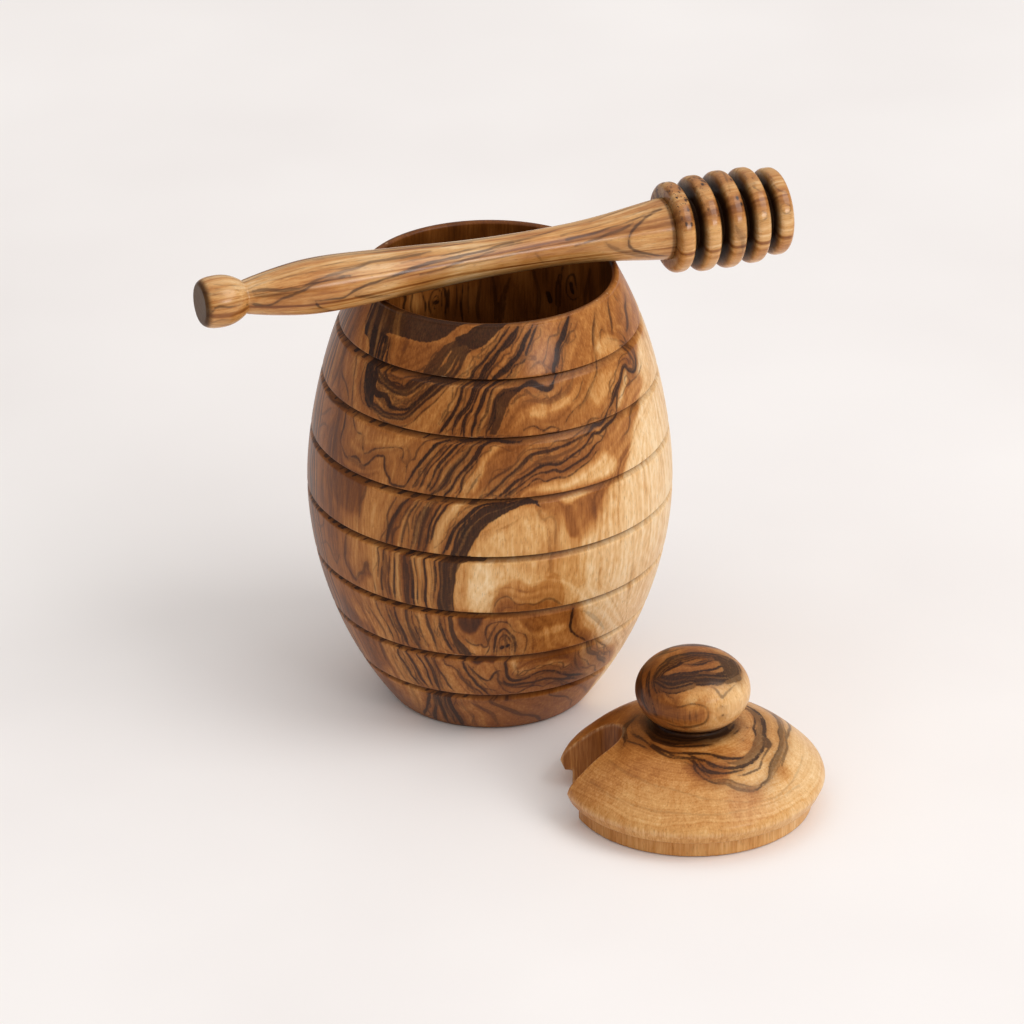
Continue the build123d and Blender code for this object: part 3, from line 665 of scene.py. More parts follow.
# Tone patches, painted in order: tone from 0 dark to 1 cream, softness in mm, then the outline.
POT_TONES = [
    (.88, 3, [-26, 0, -34, 8, -42, 15, -44, 22, -49, 30, -56, 36, -60, 44, -64, 50, -63, 58, -58, 64,
        -52, 72, -47, 78, -38, 84, -33, 90, -29, 96, -20, 100, -10, 104, 4, 108, 16, 121, 52, 121, 44, 90,
        52, 60, 40, 30, 48, 0]),
    (.92, 8, [-40, 34, -46, 50, -40, 70, -26, 88, -8, 96, 10, 92, 24, 70, 20, 40, 4, 24, -20, 22]),
    (.4, 1.2, [-134, 113.6, -133, 108, -131, 104, -124, 102, -118, 105, -113, 109, -106, 114, -100, 116.6,
        -102, 119, -112, 115, -122, 114]),
    (.46, 1.5, [-116, 119.6, -108, 115, -100, 117, -92, 119.6]),
    (.7, 1, [-101, 45, -101.2, 52, -100, 58, -97, 61, -95, 65, -92, 69, -88, 72.6, -84, 74.2, -77, 74.6,
        -72, 73, -69, 68, -68.6, 60, -66, 50, -64, 44.5]),
    (.76, 1.6, [-97, 46, -97.5, 52, -96.5, 58, -94, 62, -91, 66, -87, 70, -83, 72, -76, 71, -71, 68, -70, 61,
        -71, 56, -74, 52.5, -77, 53, -82, 54.5, -86, 53, -88.5, 48, -89, 45]),
    (.9, 1.6, [-95.5, 44, -96, 52, -94, 59, -89.6, 60, -88.8, 54, -90, 49, -90.6, 44]),
    (.76, 2, [-69, 44.4, -68.6, 60, -68.6, 68, -66, 72, -63, 67, -62, 62, -58, 64, -56, 58, -58, 50,
        -62, 44]),
    (.45, .6, [-70, 77, -67.4, 73.4, -66, 70, -65, 67, -64, 64.6, -62.4, 64, -60.6, 66, -58, 68, -54.6, 71,
        -50.4, 75.2, -46, 77, -50, 78]),
    (.74, .8, [-68.4, 76, -66, 74, -63.6, 73.9, -61, 74.6, -56, 75.4, -60, 76.6]),
    (.6, .6, [-89.5, 44.6, -88.8, 48.4, -87.6, 51, -86, 52.6, -83, 54, -80, 54, -77.5, 53, -75.5, 51.8,
        -73, 52.6, -71, 54.2, -69.6, 55.2, -68, 53, -66.5, 50, -65.5, 46, -65, 44]),
    (.46, .6, [-88.4, 44.3, -87.2, 48, -85.4, 49.2, -83, 48.4, -81, 47, -78, 47, -75.6, 46.3, -72, 47.2,
        -69, 46.8, -66, 44.6]),
    (.52, 2, [-82, 29, -82, 42, -63, 43, -60, 36, -54, 29]),
    (.42, .8, [-80, 43, -79.5, 41, -78, 38.5, -75.5, 36.8, -74, 36.7, -72.5, 38.5, -69, 38.8, -66, 38.3,
        -63.5, 37.5, -62.4, 41.5, -62.4, 43]),
    (.62, .8, [-81, 42, -79.6, 38.6, -77.4, 35.8, -74, 34.4, -71, 35.6, -67, 36.2, -63.6, 36.4, -64, 37.8,
        -68, 38.4, -72, 38, -74, 36.4, -76, 36.4, -78.6, 38.8, -80, 42]),
    (.46, 2, [-84, 29.6, -60, 29.6, -50, 27, -44, 20, -36, 14, -30, 6, -30, 0, -90, 0, -96, 14, -88, 20]),
    (.62, .8, [-82.6, 27, -81, 23, -78, 22, -74, 22.6, -70, 24.4, -64, 24, -60, 22.4, -57, 23, -60, 26,
        -68, 26.6, -74, 24.6, -79, 24.4, -80.4, 28]),
    (.4, 1, [-80, 24, -74, 24, -71, 25, -66, 26.4, -60, 26, -58, 29.6, -79.6, 29.6]),
    (.66, .8, [-56, 29, -52, 29, -49, 25, -44, 20.6, -49, 19.6, -53, 23]),
    (.58, 1.2, [-51, 76, -46, 79.6, -43, 81.4, -41.6, 84, -40.4, 87.4, -37, 87.6, -35.6, 90, -33, 92.4,
        -27, 92.8, -30, 90.6, -34, 88.4, -36.6, 85, -38.4, 81, -41, 78, -43, 76]),
    (.58, 1.2, [-56, 91, -52, 87, -50, 84, -47, 83, -44, 84, -42, 86, -38, 88, -36, 91, -30, 93, -38, 93.4,
        -46, 91.6]),
    (.58, 1.2, [-38.4, 93.4, -36, 94.6, -33, 96.4, -29, 98.4, -25, 99.4, -21.6, 97.4, -23.6, 95, -28, 93.4]),
    (.8, .8, [-40.2, 94.6, -38, 97, -35.6, 99, -33, 100.8, -30.6, 101.4, -31.4, 99.8, -34, 98, -36.4, 96,
        -38.4, 94]),
    (.9, 1.5, [-26, 99.6, -22, 102.6, -17, 105, -11, 106.4, -8, 102, -14, 97, -21, 97.6]),
    (.44, .8, [-30, 104.4, -28.4, 106, -26.6, 104.6, -26.4, 102.2, -28.4, 101.6, -30, 102.6]),
    (.68, 1, [-44.6, 110, -42.4, 107.6, -38, 107.9, -33, 108, -30, 107, -31.4, 109.6, -35, 111.6,
        -40, 111.4]),
    (.66, 1.2, [-52, 100, -46, 104.4, -41, 104, -36, 103.4, -40, 100, -46, 97.4, -50, 97]),
    (.67, .8, [-76, 99.4, -73, 101, -70, 100.8, -68.9, 98.6, -71, 97.2, -75, 97.6]),
    (.67, .8, [-68.5, 98.5, -67, 100.6, -63, 101.4, -60, 101, -60.5, 99, -64, 98.3]),
    (.47, .7, [-69.3, 98.3, -68.5, 95.6, -64, 95.2, -60, 96.6, -60.6, 98.6, -65, 98]),
    (.4, 1.2, [-97, 80, -93, 84.6, -88, 89.6, -83, 92, -78, 91.6, -80, 88, -84, 84, -89, 79.6, -94, 78.4]),
    (.48, 1, [-83, 94, -80, 97, -76, 100.4, -78, 102.4, -82, 100.4, -86, 97, -87.6, 94]),
    (.8, 1.2, [-64, 80, -58, 82, -50, 84.6, -46, 82.4, -44, 80, -46, 78.2, -60, 78.2, -76, 78.2, -72, 80]),
    (.66, 1, [-94, 79, -99, 79, -97, 82.6, -92, 88, -88.6, 91, -86, 91, -91, 86.6]),
    (.48, 3, [-30, 121, -34, 114, -24, 108, -16, 110, -6, 113, 2, 116, 6, 121]),
    (.44, 6, [-176, -2, -176, 122, -152, 122, -146, 90, -140, 60, -138, 30, -130, -2]),
    (.3, 1.5, [-150, 39, -147, 36.5, -144, 34.5, -141, 33, -137, 32.5, -135, 31.3, -135, 29.8, -154, 29.8]),
    (.3, 1.5, [-146, 28.4, -136, 28.4, -135.6, 24, -135, 20, -139, 16, -147, 15, -148, 22]),
    (.33, 1.2, [-142, 58.6, -141, 52, -139, 47, -137, 46, -135, 49.6, -133, 51, -131.6, 54.6, -131, 51,
        -129.6, 50, -130.6, 49, -134, 48.6, -137, 45.4, -140, 46, -142.6, 50]),
    (.34, 1.2, [-149.6, 76, -132.4, 76, -133.4, 73, -134.5, 70, -134.8, 66.6, -140, 65, -146, 66.4,
        -149, 70]),
    (.56, 1, [-131.6, 76, -117, 75.6, -121, 69.6, -124.4, 62, -134, 62, -134, 68]),
    (.36, 2, [-154, 93, -149, 93, -149, 78, -153, 78]), (.36, 2, [-160, 116, -153, 116, -154, 95, -160, 95]),
    (.34, 2, [-148, 12, -140, 13.4, -138, 8, -146, 4, -152, 6]),
    (.18, .7, [-101, 42.8, -100.5, 40, -98.5, 38, -96.5, 37.2, -94.5, 38, -92.5, 40, -91.5, 42.8]),
    (.62, .5, [-122.6, 44.4, -122.6, 52, -122, 60, -119.8, 60, -120.2, 52, -119.6, 44.4]),
    (.62, .5, [-114.2, 44.4, -114.6, 60, -110.8, 60, -110.6, 44.4]),
    (.64, .4, [-110.2, 44.4, -110.2, 60, -107.6, 60, -108.2, 44.4]),
    (.33, .5, [-118.6, 44.4, -118.6, 60, -115.6, 60, -115, 44.4]),
    (.62, .6, [-130, 44.4, -130, 60, -126.4, 60, -127, 44.4]),
    (.34, .6, [-113.4, 61, -112.4, 66, -110.8, 70, -108.2, 75.4, -105.8, 75.4, -107.8, 71, -109.4, 66,
        -110, 61]),
    (.66, .5, [-108.8, 61, -108.2, 65, -107, 69, -104.6, 73, -101.6, 76, -98, 76, -101, 72, -103.6, 68,
        -105, 64, -105.4, 61]),
    (.38, .8, [-124.2, 61, -123.6, 65, -121.6, 69, -119, 73, -116.8, 75.6, -114, 75.6, -117, 71, -119, 66.6,
        -120.4, 61]),
    (.6, .6, [-113.8, 30, -114.4, 42, -111.6, 42, -109.4, 30]),
    (.6, .6, [-110, 30, -110.4, 42, -107.8, 42, -105, 30]),
    (.62, .8, [-96, 30, -98, 33, -97, 35, -92, 34, -89.6, 33, -89.6, 30]),
    (.6, .8, [-110, 15, -109, 24, -106, 27, -102, 22, -97, 15]),
    (.6, 2, [-50, 16, -44, 24, -36, 24, -30, 18, -30, 10, -40, 12]),
    (.08, .7, [-100, 29.8, -97, 27.6, -94.5, 26.6, -92, 28, -88, 27.4, -87.4, 29.8]),
]
# On the mouth's wall: the same as the strokes outside.
BORE_STROKES = [
    (.6, .9, [114.5, 95.4, 114, 99, 115, 101.5, 117, 102.2, 119.5, 101, 121, 98, 120, 95, 118, 94]),
    (.4, .9, [115.8, 97, 116, 99.5, 117.5, 100.2, 119, 99, 119, 97.2, 117.5, 96.3, 115.8, 97]),
    (1.2, .98, [116.8, 98, 117.6, 98.3]), (.7, .9, [112, 93, 111.4, 97, 112, 100, 113.6, 103]),
    (.4, .8, [110, 93, 110, 98, 111, 103]), (.6, .85, [106, 93, 106, 100, 107, 104]),
    (.7, .9, [102.6, 91, 103.6, 97, 103, 103]), (.9, .85, [134, 97.4, 136, 100, 135, 102, 139, 104]),
    (.5, .7, [128, 95, 131, 99, 130, 104]), (1.6, .98, [46.5, 104, 47.5, 106]),
    (.8, .7, [43, 105, 46, 108.5, 50, 107, 50.5, 103, 47, 101.4, 43, 103]), (1.4, .9, [60, 99, 61.5, 101]),
    (2, .6, [81, 104, 84, 97, 86, 90]), (1.2, .6, [89, 104, 87, 96, 88, 90]),
    (1.2, .6, [70, 108, 66, 100, 67, 92]), (1.2, .6, [34, 112, 38, 104, 37, 97]),
    (1, .6, [94, 104, 96, 96, 95, 89]), (1.6, .7, [53, 110, 56, 103, 55, 95]),
    (1, .6, [150, 110, 147, 104, 149, 98]), (.7, .85, [124, 95, 123, 99, 124.5, 103]),
    (.5, .8, [100, 93, 100.6, 98, 100, 104]),
]
POT_BASE_TONE = .52
# By degrees round the pot: how far its drawing drifts sideways in the grooves, how strongly painted shade
# browns the grooves' bevels, and how dark the painted shade in their roots is, both weakest towards the
# lamps. Then by height, how strong the fine streaks are.
DRIFT = ([-180, -130, -100, -60, 0, 180], [1.0, 3.4, 3.4, 1.2, .6, 1.0])
ROUND_POT = [-180, -150, -125, -98, -84, -60, -30, 20, 90, 180]
BEVEL_SHADE_SHARES = [.7, .9, .9, 1, .85, .6, .25, .2, .6, .7]
ROOT_SHADE_SHARES = [.8, 1, 1, 1, 1, .8, .5, .4, .7, .8]
STREAK_SHARES = ([0, 7, 112, 121], [.4, 1, 1, .4])
# A knot on the back, in degrees and height, and the dashes in the grooves: from and to, and one spacing
# a groove.
KNOT_AT = (128.0, 66.0)
DASHED_SIDE = (-172.0, -94.0)
DASH_SPACINGS = (6.0, 3.4, 3.0, 3.2, 4.4, 7.0, 9.0)


def back_strokes():
    """Flowing lines for the side that the photograph doesn't show, parted round one knot."""
    knot_a, knot_z = KNOT_AT
    rng = np.random.default_rng(5)
    strokes = []
    a0 = 44.0
    while a0 < 204:
        path = []
        sway, lean = 5.0, rng.uniform(-0.6, 0.6)
        for z in np.arange(0.0, MAP_TOP, 6.0):
            a = (a0 + sway * math.sin(z / 21 + a0 / 33) + 4 * math.sin(z / 47 - a0 / 21)
                 + lean * math.sin(z / 9 + a0))
            away = a - knot_a
            a += math.copysign(9.0, away) * math.exp(-abs(away) / 13) * math.exp(-((z - knot_z) / 15) ** 2)
            path += [a if a < 180 else a - 360, z]
        width = float(rng.choice([.5, .7, .9, 1.3, 2.2], p=[.3, .25, .2, .15, .1]))
        strokes.append((width, float(rng.uniform(.55, .95)), path))
        a0 += rng.uniform(1.6, 5.2) + width * 0.8
    t = np.linspace(0, 2 * np.pi, 13)
    for size in (2.6, 4.0, 5.8):
        ring = np.stack([knot_a + size * 1.15 * np.cos(t), knot_z + size * 1.7 * np.sin(t)], 1)
        strokes.append((.7, .8, ring.ravel().tolist()))
    return strokes + [(1.8, .95, [knot_a - .6, knot_z, knot_a + .6, knot_z + .5])]


def flow_directions(strokes):
    """Which way the grain runs on a coarse map of the outside: up, except beside a stroke."""
    centres, bends = [], []
    for _, _, flat in strokes:
        p = np.array(flat, float).reshape(-1, 2)
        middle, d = (p[:-1] + p[1:]) / 2, p[1:] - p[:-1]
        d[:, 0] = ((d[:, 0] + 180) % 360 - 180) * degree(middle[:, 1])
        angle = np.arctan2(d[:, 1], d[:, 0]) * 2
        centres.append(middle)
        bends.append(np.stack([np.cos(angle), np.sin(angle)], 1) * np.linalg.norm(d, axis=1)[:, None])
    centres, bends = np.concatenate(centres), np.concatenate(bends)
    a = np.arange(FLOW_COLUMNS) * 360.0 / FLOW_COLUMNS - 180
    across = (a[:, None] - centres[None, :, 0] + 180) % 360 - 180
    field = np.empty((FLOW_ROWS, FLOW_COLUMNS, 2))
    for i, height in enumerate(np.linspace(0, MAP_TOP, FLOW_ROWS)):
        squared = (across * degree(height)) ** 2 + (height - centres[None, :, 1]) ** 2
        field[i] = np.exp(-squared / (2 * FLOW_REACH ** 2)) @ bends + UPRIGHT
    return np.arctan2(field[..., 1], field[..., 0]) / 2


def sample(table, a, z):
    """A value of a map of the outside at any angle and height."""
    rows, columns = table.shape
    x = (a + 180) / 360 * columns
    y = np.clip(z / MAP_TOP * (rows - 1), 0, rows - 1.001)
    x0, y0 = np.floor(x).astype(int), np.floor(y).astype(int)
    fx, fy = x - x0, y - y0
    x0, x1 = x0 % columns, (x0 + 1) % columns
    return ((table[y0, x0] * (1 - fx) + table[y0, x1] * fx) * (1 - fy)
            + (table[y0 + 1, x0] * (1 - fx) + table[y0 + 1, x1] * fx) * fy)


def random_dots():
    """Random dots, sharp and blurred, on the fine map."""
    fine = np.random.default_rng(3).normal(size=(GRAIN_ROWS, GRAIN_COLUMNS))
    soft = fine.copy()
    for _ in range(3):
        for axis in (1, 0):
            soft = (soft + np.roll(soft, 1, axis) + np.roll(soft, -1, axis)) / 3
    return [fine.ravel(), soft.ravel()]


def grain_map(strokes):
    """Fine streaks that run along the figure: random dots smeared along its directions."""
    rows, columns = GRAIN_ROWS, GRAIN_COLUMNS
    angle = flow_directions(strokes)
    a, z = np.meshgrid(np.arange(columns) * 360.0 / columns - 180, np.linspace(0, MAP_TOP, rows))
    heading = np.arctan2(sample(np.sin(2 * angle), a, z), sample(np.cos(2 * angle), a, z)) / 2
    across, along = np.cos(heading).ravel(), np.sin(heading).ravel()
    per_mm = (columns / 360 / degree(z[:, :1])).repeat(columns, 1).ravel()
    maps = random_dots()
    total = [dots.copy() for dots in maps]
    for side in (1, -1):
        x = np.tile(np.arange(columns, dtype=float), rows)
        y = np.repeat(np.arange(rows, dtype=float), columns)
        place = y.astype(int) * columns + x.astype(int)
        old = (0, side)
        for _ in range(SMEAR_STEPS):
            dx, dz = across[place], along[place]
            flip = np.where(dx * old[0] + dz * old[1] < 0, -SMEAR_STEP, SMEAR_STEP)
            dx, dz = dx * flip, dz * flip
            old = dx, dz
            x = (x + dx * per_mm[place]) % columns
            y = np.clip(y + dz * (rows - 1) / MAP_TOP, 0, rows - 1)
            place = np.rint(y).astype(int) * columns + np.rint(x).astype(int) % columns
            for result, dots in zip(total, maps):
                result += dots[place]
    streak = sum(share * t / t.std() for share, t in zip((0.55, 1.0), total))
    return (streak / streak.std()).reshape(rows, columns)


def companions(strokes):
    """Thin lines beside the drawn ones, like the rings between two dark ones."""
    rng = np.random.default_rng(8)
    out = []
    for width, dark, flat in strokes:
        p = np.array(flat, float).reshape(-1, 2)
        if width < .8 or len(p) < 4 or dark < .7:
            continue
        scale = degree(p[:, 1])
        d = np.gradient(np.stack([(p[:, 0] - p[0, 0]) * scale, p[:, 1]], 1), axis=0)
        d /= np.linalg.norm(d, axis=1)[:, None].clip(1e-6)
        for _ in range(3):
            off = (rng.choice([-1, 1]) * (width / 2 + rng.uniform(.7, 2.2))
                   * (1 + .25 * rng.normal(size=len(p))))
            beside = np.stack([p[:, 0] - d[:, 1] * off / scale, p[:, 1] + d[:, 0] * off], 1)
            beside = beside[rng.integers(0, 2):len(p) - rng.integers(0, 2)]
            out.append((float(rng.uniform(.3, .5)), float(rng.uniform(.4, .75)), beside.ravel().tolist()))
    return out


def groove_dashes():
    """Dark slanting dashes on the bevels of the side that is seen."""
    rng = np.random.default_rng(9)
    out = []
    for edge, spacing in zip(BAND_EDGES, DASH_SPACINGS):
        a, last = DASHED_SIDE
        while a < last:
            width = float(rng.uniform(.5, 2.0))
            out.append((width, float(rng.uniform(.75, .98)), [a, edge - 3.4, a, edge + .6]))
            a += (width + rng.uniform(.25, 1.0) * spacing) / degree(edge)
    return out


def within(outline, a, z, reach):
    """The pot's points near a closed outline, and how far inside it they lie."""
    polygon = np.array(outline, float).reshape(-1, 2)
    middle = polygon.mean(0)
    scale = degree(middle[1])
    x = ((a - middle[0] + 180) % 360 - 180) * scale
    polygon[:, 0] = (polygon[:, 0] - middle[0]) * scale
    low, high = polygon.min(0) - reach, polygon.max(0) + reach
    near = np.flatnonzero((x > low[0]) & (x < high[0]) & (z > low[1]) & (z < high[1]))
    return near, inside(np.stack([x[near], z[near]], 1), polygon)


def pot_ink(a, z, sunk, strokes):
    """Ink fields of the pot's outside: strokes, the grooves' dashes, dark shapes, and the gaps in them."""
    spots = pot_surface(np.stack([a, z], 1))
    outward = spots * [1, 1, 0]
    edge, depth, halo = draw(spots, outward, strokes, pot_surface)
    # The grooves' dashes, drawn with two strokes of painted shade along their bevels.
    dash, dash_depth, _ = draw(spots, outward, groove_dashes() + GROOVE_SHADE_STROKES, pot_surface)
    dash *= smoothstep(.08, .3, sunk)
    depth = np.where(dash > edge, dash_depth, depth)
    edge = np.maximum(edge, dash)
    for dark, outline in POT_SHAPES:
        near, reach = within(outline, a, z, INK_FEATHER)
        value = np.clip(0.5 + reach / INK_FEATHER, 0, 1)
        better = value * dark > edge[near] * depth[near]
        edge[near[better]] = value[better]
        depth[near[better]] = dark
    gap, strength, _ = draw(spots, outward, POT_GAPS, pot_surface)
    edge = np.where(gap > 0, edge + (np.minimum(edge, 1 - gap) - edge) * strength, edge)
    return edge, depth, halo


def pot_tone(a, z, points):
    """Tone of the pot's outside, its patches laid over each other, mottled where it is cream."""
    tone = np.full(len(a), POT_BASE_TONE)
    for value, soft, outline in POT_TONES:
        near, reach = within(outline, a, z, soft)
        tone[near] += (value - tone[near]) * smoothstep(-soft, soft, reach)
    return tone + .02 * smoothstep(.66, .8, tone) * waves(points * [1, 1, .55], 1.7, 26, 13)


def past_the_lip(profile, sides):
    """Which of a turned mesh's points come after the highest one of its profile."""
    rows = len(profile) - 2
    row = np.concatenate([np.repeat(np.arange(rows), sides), [0, rows - 1]])
    return row > np.argmax(profile[1:-1, 1])


def bore_ink(a, z, wall):
    """Ink fields of the bore: only its upper wall is drawn on."""
    fields = np.zeros((3, len(a)))
    spots = bore_surface(np.stack([a[wall], z[wall]], 1))
    fields[:, wall] = draw(spots, spots * [-1, -1, 0], BORE_STROKES, bore_surface)
    return fields


def bore_tone(a, z, points):
    """Tone of the bore, kept low as partly painted shade, lighter and redder as painted light where the light
    comes through, and how golden its one patch is.
    """
    lit_red = np.exp(-((a - 62) / 38) ** 2)
    golden = np.exp(-((a - 124) / 15) ** 2 - ((z - 100) / 6) ** 2)
    return .30 + .26 * golden + .06 * lit_red + .05 * waves(points * [1, 1, .5], 9.0, 24), golden


def dress_pot():
    """The pot, its figure drawn sideways in the grooves and swayed a little everywhere."""
    profile = pot_profile()
    angles = front_turn(max(r for r, _ in POT_OUTLINE))
    obj, points = lathe("pot", profile, angles, lambda p: p)
    bore = past_the_lip(profile, len(angles))
    turn, height = np.degrees(np.arctan2(points[:, 1], points[:, 0])), points[:, 2]
    depth = np.clip(pot_radius(height) - np.hypot(points[:, 0], points[:, 1]), 0, STEP_DEPTH)
    depth = np.where(bore, 0, depth)
    sunk = depth / STEP_DEPTH
    a = (turn - np.interp(turn, *DRIFT) * depth
         + SWAY * waves(points, 11.0, 21) / (np.radians(1) * SWAY_RADIUS))
    z = np.clip(height + .5 * depth + SWAY * waves(points, 10.0, 22), 0, MAP_TOP)
    strokes = POT_STROKES + back_strokes()
    strokes += companions(strokes)
    ink = pot_ink(a, z, sunk, strokes)
    for field, values in zip(ink, bore_ink(a, z, bore & (height > BORE_DRAWN_TO))):
        field[bore] = values[bore]
    streak = sample(grain_map(strokes), a, z) * np.interp(z, *STREAK_SHARES)
    inner_tone, golden = bore_tone(a, z, points)
    # Painted shade in the grooves: a brown over each bevel and a darker one in its root, weakest towards the
    # lamps. In the bore, painted shade darkens the wall outside its golden patch.
    bevel = np.interp(turn, ROUND_POT, BEVEL_SHADE_SHARES) * smoothstep(.03, .3, sunk)
    root = (np.interp(turn, ROUND_POT, ROOT_SHADE_SHARES)
            * (.6 * smoothstep(.3, .7, sunk) + .5 * smoothstep(.6, .95, sunk)))
    store(obj, ink_edge=ink[0], ink_dark=ink[1], halo=ink[2],
          tone=np.where(bore, inner_tone, pot_tone(a, z, points)),
          streak=np.where(bore, .4 * streak, streak),
          bevel=np.where(bore, 0, bevel),
          hollow=np.where(bore, .26 * (1 - golden), root))
    return obj


def lid_top(step, knob_points, neck_points):
    """The lid's outline above its brim, inwards and up: dome, neck and knob."""
    dome = spline(LID_OUTLINE, step)
    t = np.radians(np.linspace(KNOB_START, 90, knob_points))
    knob = np.stack([KNOB_RADIUS * np.cos(t), KNOB_CENTRE + KNOB_HALF_HEIGHT * np.sin(t)], 1)
    t = np.linspace(0, 1, neck_points)[:, None]
    start, waist, end = dome[-1], np.array(NECK), knob[0]
    control = 2 * waist - (start + end) / 2
    return dome, start * (1 - t) ** 2 + 2 * control * t * (1 - t) + end * t * t, knob


def lid_profile():
    """The lid's outline from the middle of its plug to the top of its knob."""
    plug, under = (PLUG_RADIUS, PLUG_HEIGHT), (FLANGE_UNDER_RADIUS, PLUG_HEIGHT)
    return chain(line((0, 0), (PLUG_RADIUS - .4, 0), 3.0),
                 rounded([(20, 0), (PLUG_RADIUS, 0), (PLUG_RADIUS, 4)], .4),
                 line((PLUG_RADIUS, .5), plug, .5), line((PLUG_RADIUS + .1, PLUG_HEIGHT), under, .5),
                 line(under, LID_OUTLINE[0], .4), *lid_top(.5, 60, 14))


def lid_curve():
    """The outline that strokes follow up the lid, from the foot of its plug, and the distance along it."""
    side = [[PLUG_RADIUS, z] for z in np.arange(0, PLUG_HEIGHT, .2)]
    under = np.linspace((FLANGE_UNDER_RADIUS, PLUG_HEIGHT), LID_OUTLINE[0], 14)
    curve = np.concatenate([side, under, *lid_top(.2, 160, 20)])
    return curve, np.concatenate([[0], np.cumsum(np.linalg.norm(np.diff(curve, axis=0), axis=1))])


LID_CURVE, LID_S = lid_curve()


def slot_distance(x, y):
    """Signed distance in plan from the slot's wall: negative in the slot."""
    turn, flare = np.radians(-SLOT_AZIMUTH), np.radians(SLOT_FLARE)
    u = x * np.cos(turn) - y * np.sin(turn) - SLOT_END_CENTRE
    v = np.abs(x * np.sin(turn) + y * np.cos(turn))
    straight = u * np.cos(flare) + v * np.sin(flare) > 0
    return np.where(straight, v * np.cos(flare) - u * np.sin(flare), np.hypot(u, v)) - SLOT_END_RADIUS


class LidShape:
    """Signed distance to the lid's surface, with the slot's edges slightly rounded: negative in the wood."""

    def __init__(self):
        outline = lid_profile()
        outline = np.concatenate([outline, outline[::-1] * [-1, 1]])
        self.r = np.arange(-1.0, 37.0, TABLE_STEP)
        self.z = np.arange(-1.5, 44.0, TABLE_STEP)
        r, z = np.meshgrid(self.r, self.z, indexing="ij")
        self.table = -inside(np.stack([r.ravel(), z.ravel()], 1), outline).reshape(r.shape)

    def body(self, r, z):
        """The distance without the slot, read off a table."""
        x = np.clip((r - self.r[0]) / TABLE_STEP, 0, len(self.r) - 1.001)
        y = np.clip((z - self.z[0]) / TABLE_STEP, 0, len(self.z) - 1.001)
        i, j = x.astype(int), y.astype(int)
        f, g = x - i, y - j
        t = self.table
        return ((t[i, j] * (1 - f) + t[i + 1, j] * f) * (1 - g)
                + (t[i, j + 1] * (1 - f) + t[i + 1, j + 1] * f) * g)

    def distance(self, p):
        x, y = p[:, 0] - LID_AT[0], p[:, 1] - LID_AT[1]
        body = self.body(np.hypot(x, y), p[:, 2])
        slot = -slot_distance(x, y)
        k = SLOT_ROUND
        corner = np.hypot(np.maximum(body + k, 0), np.maximum(slot + k, 0)) - k
        return np.where((body > -k) & (slot > -k), corner, np.maximum(body, slot))


def lid_surface(path):
    """Points given as (degrees, distance up the outline) put on the lid."""
    r, z = (np.interp(path[:, 1], LID_S, LID_CURVE[:, i]) for i in (0, 1))
    return around(np.stack([path[:, 0], z], 1), r) + [*LID_AT, 0]


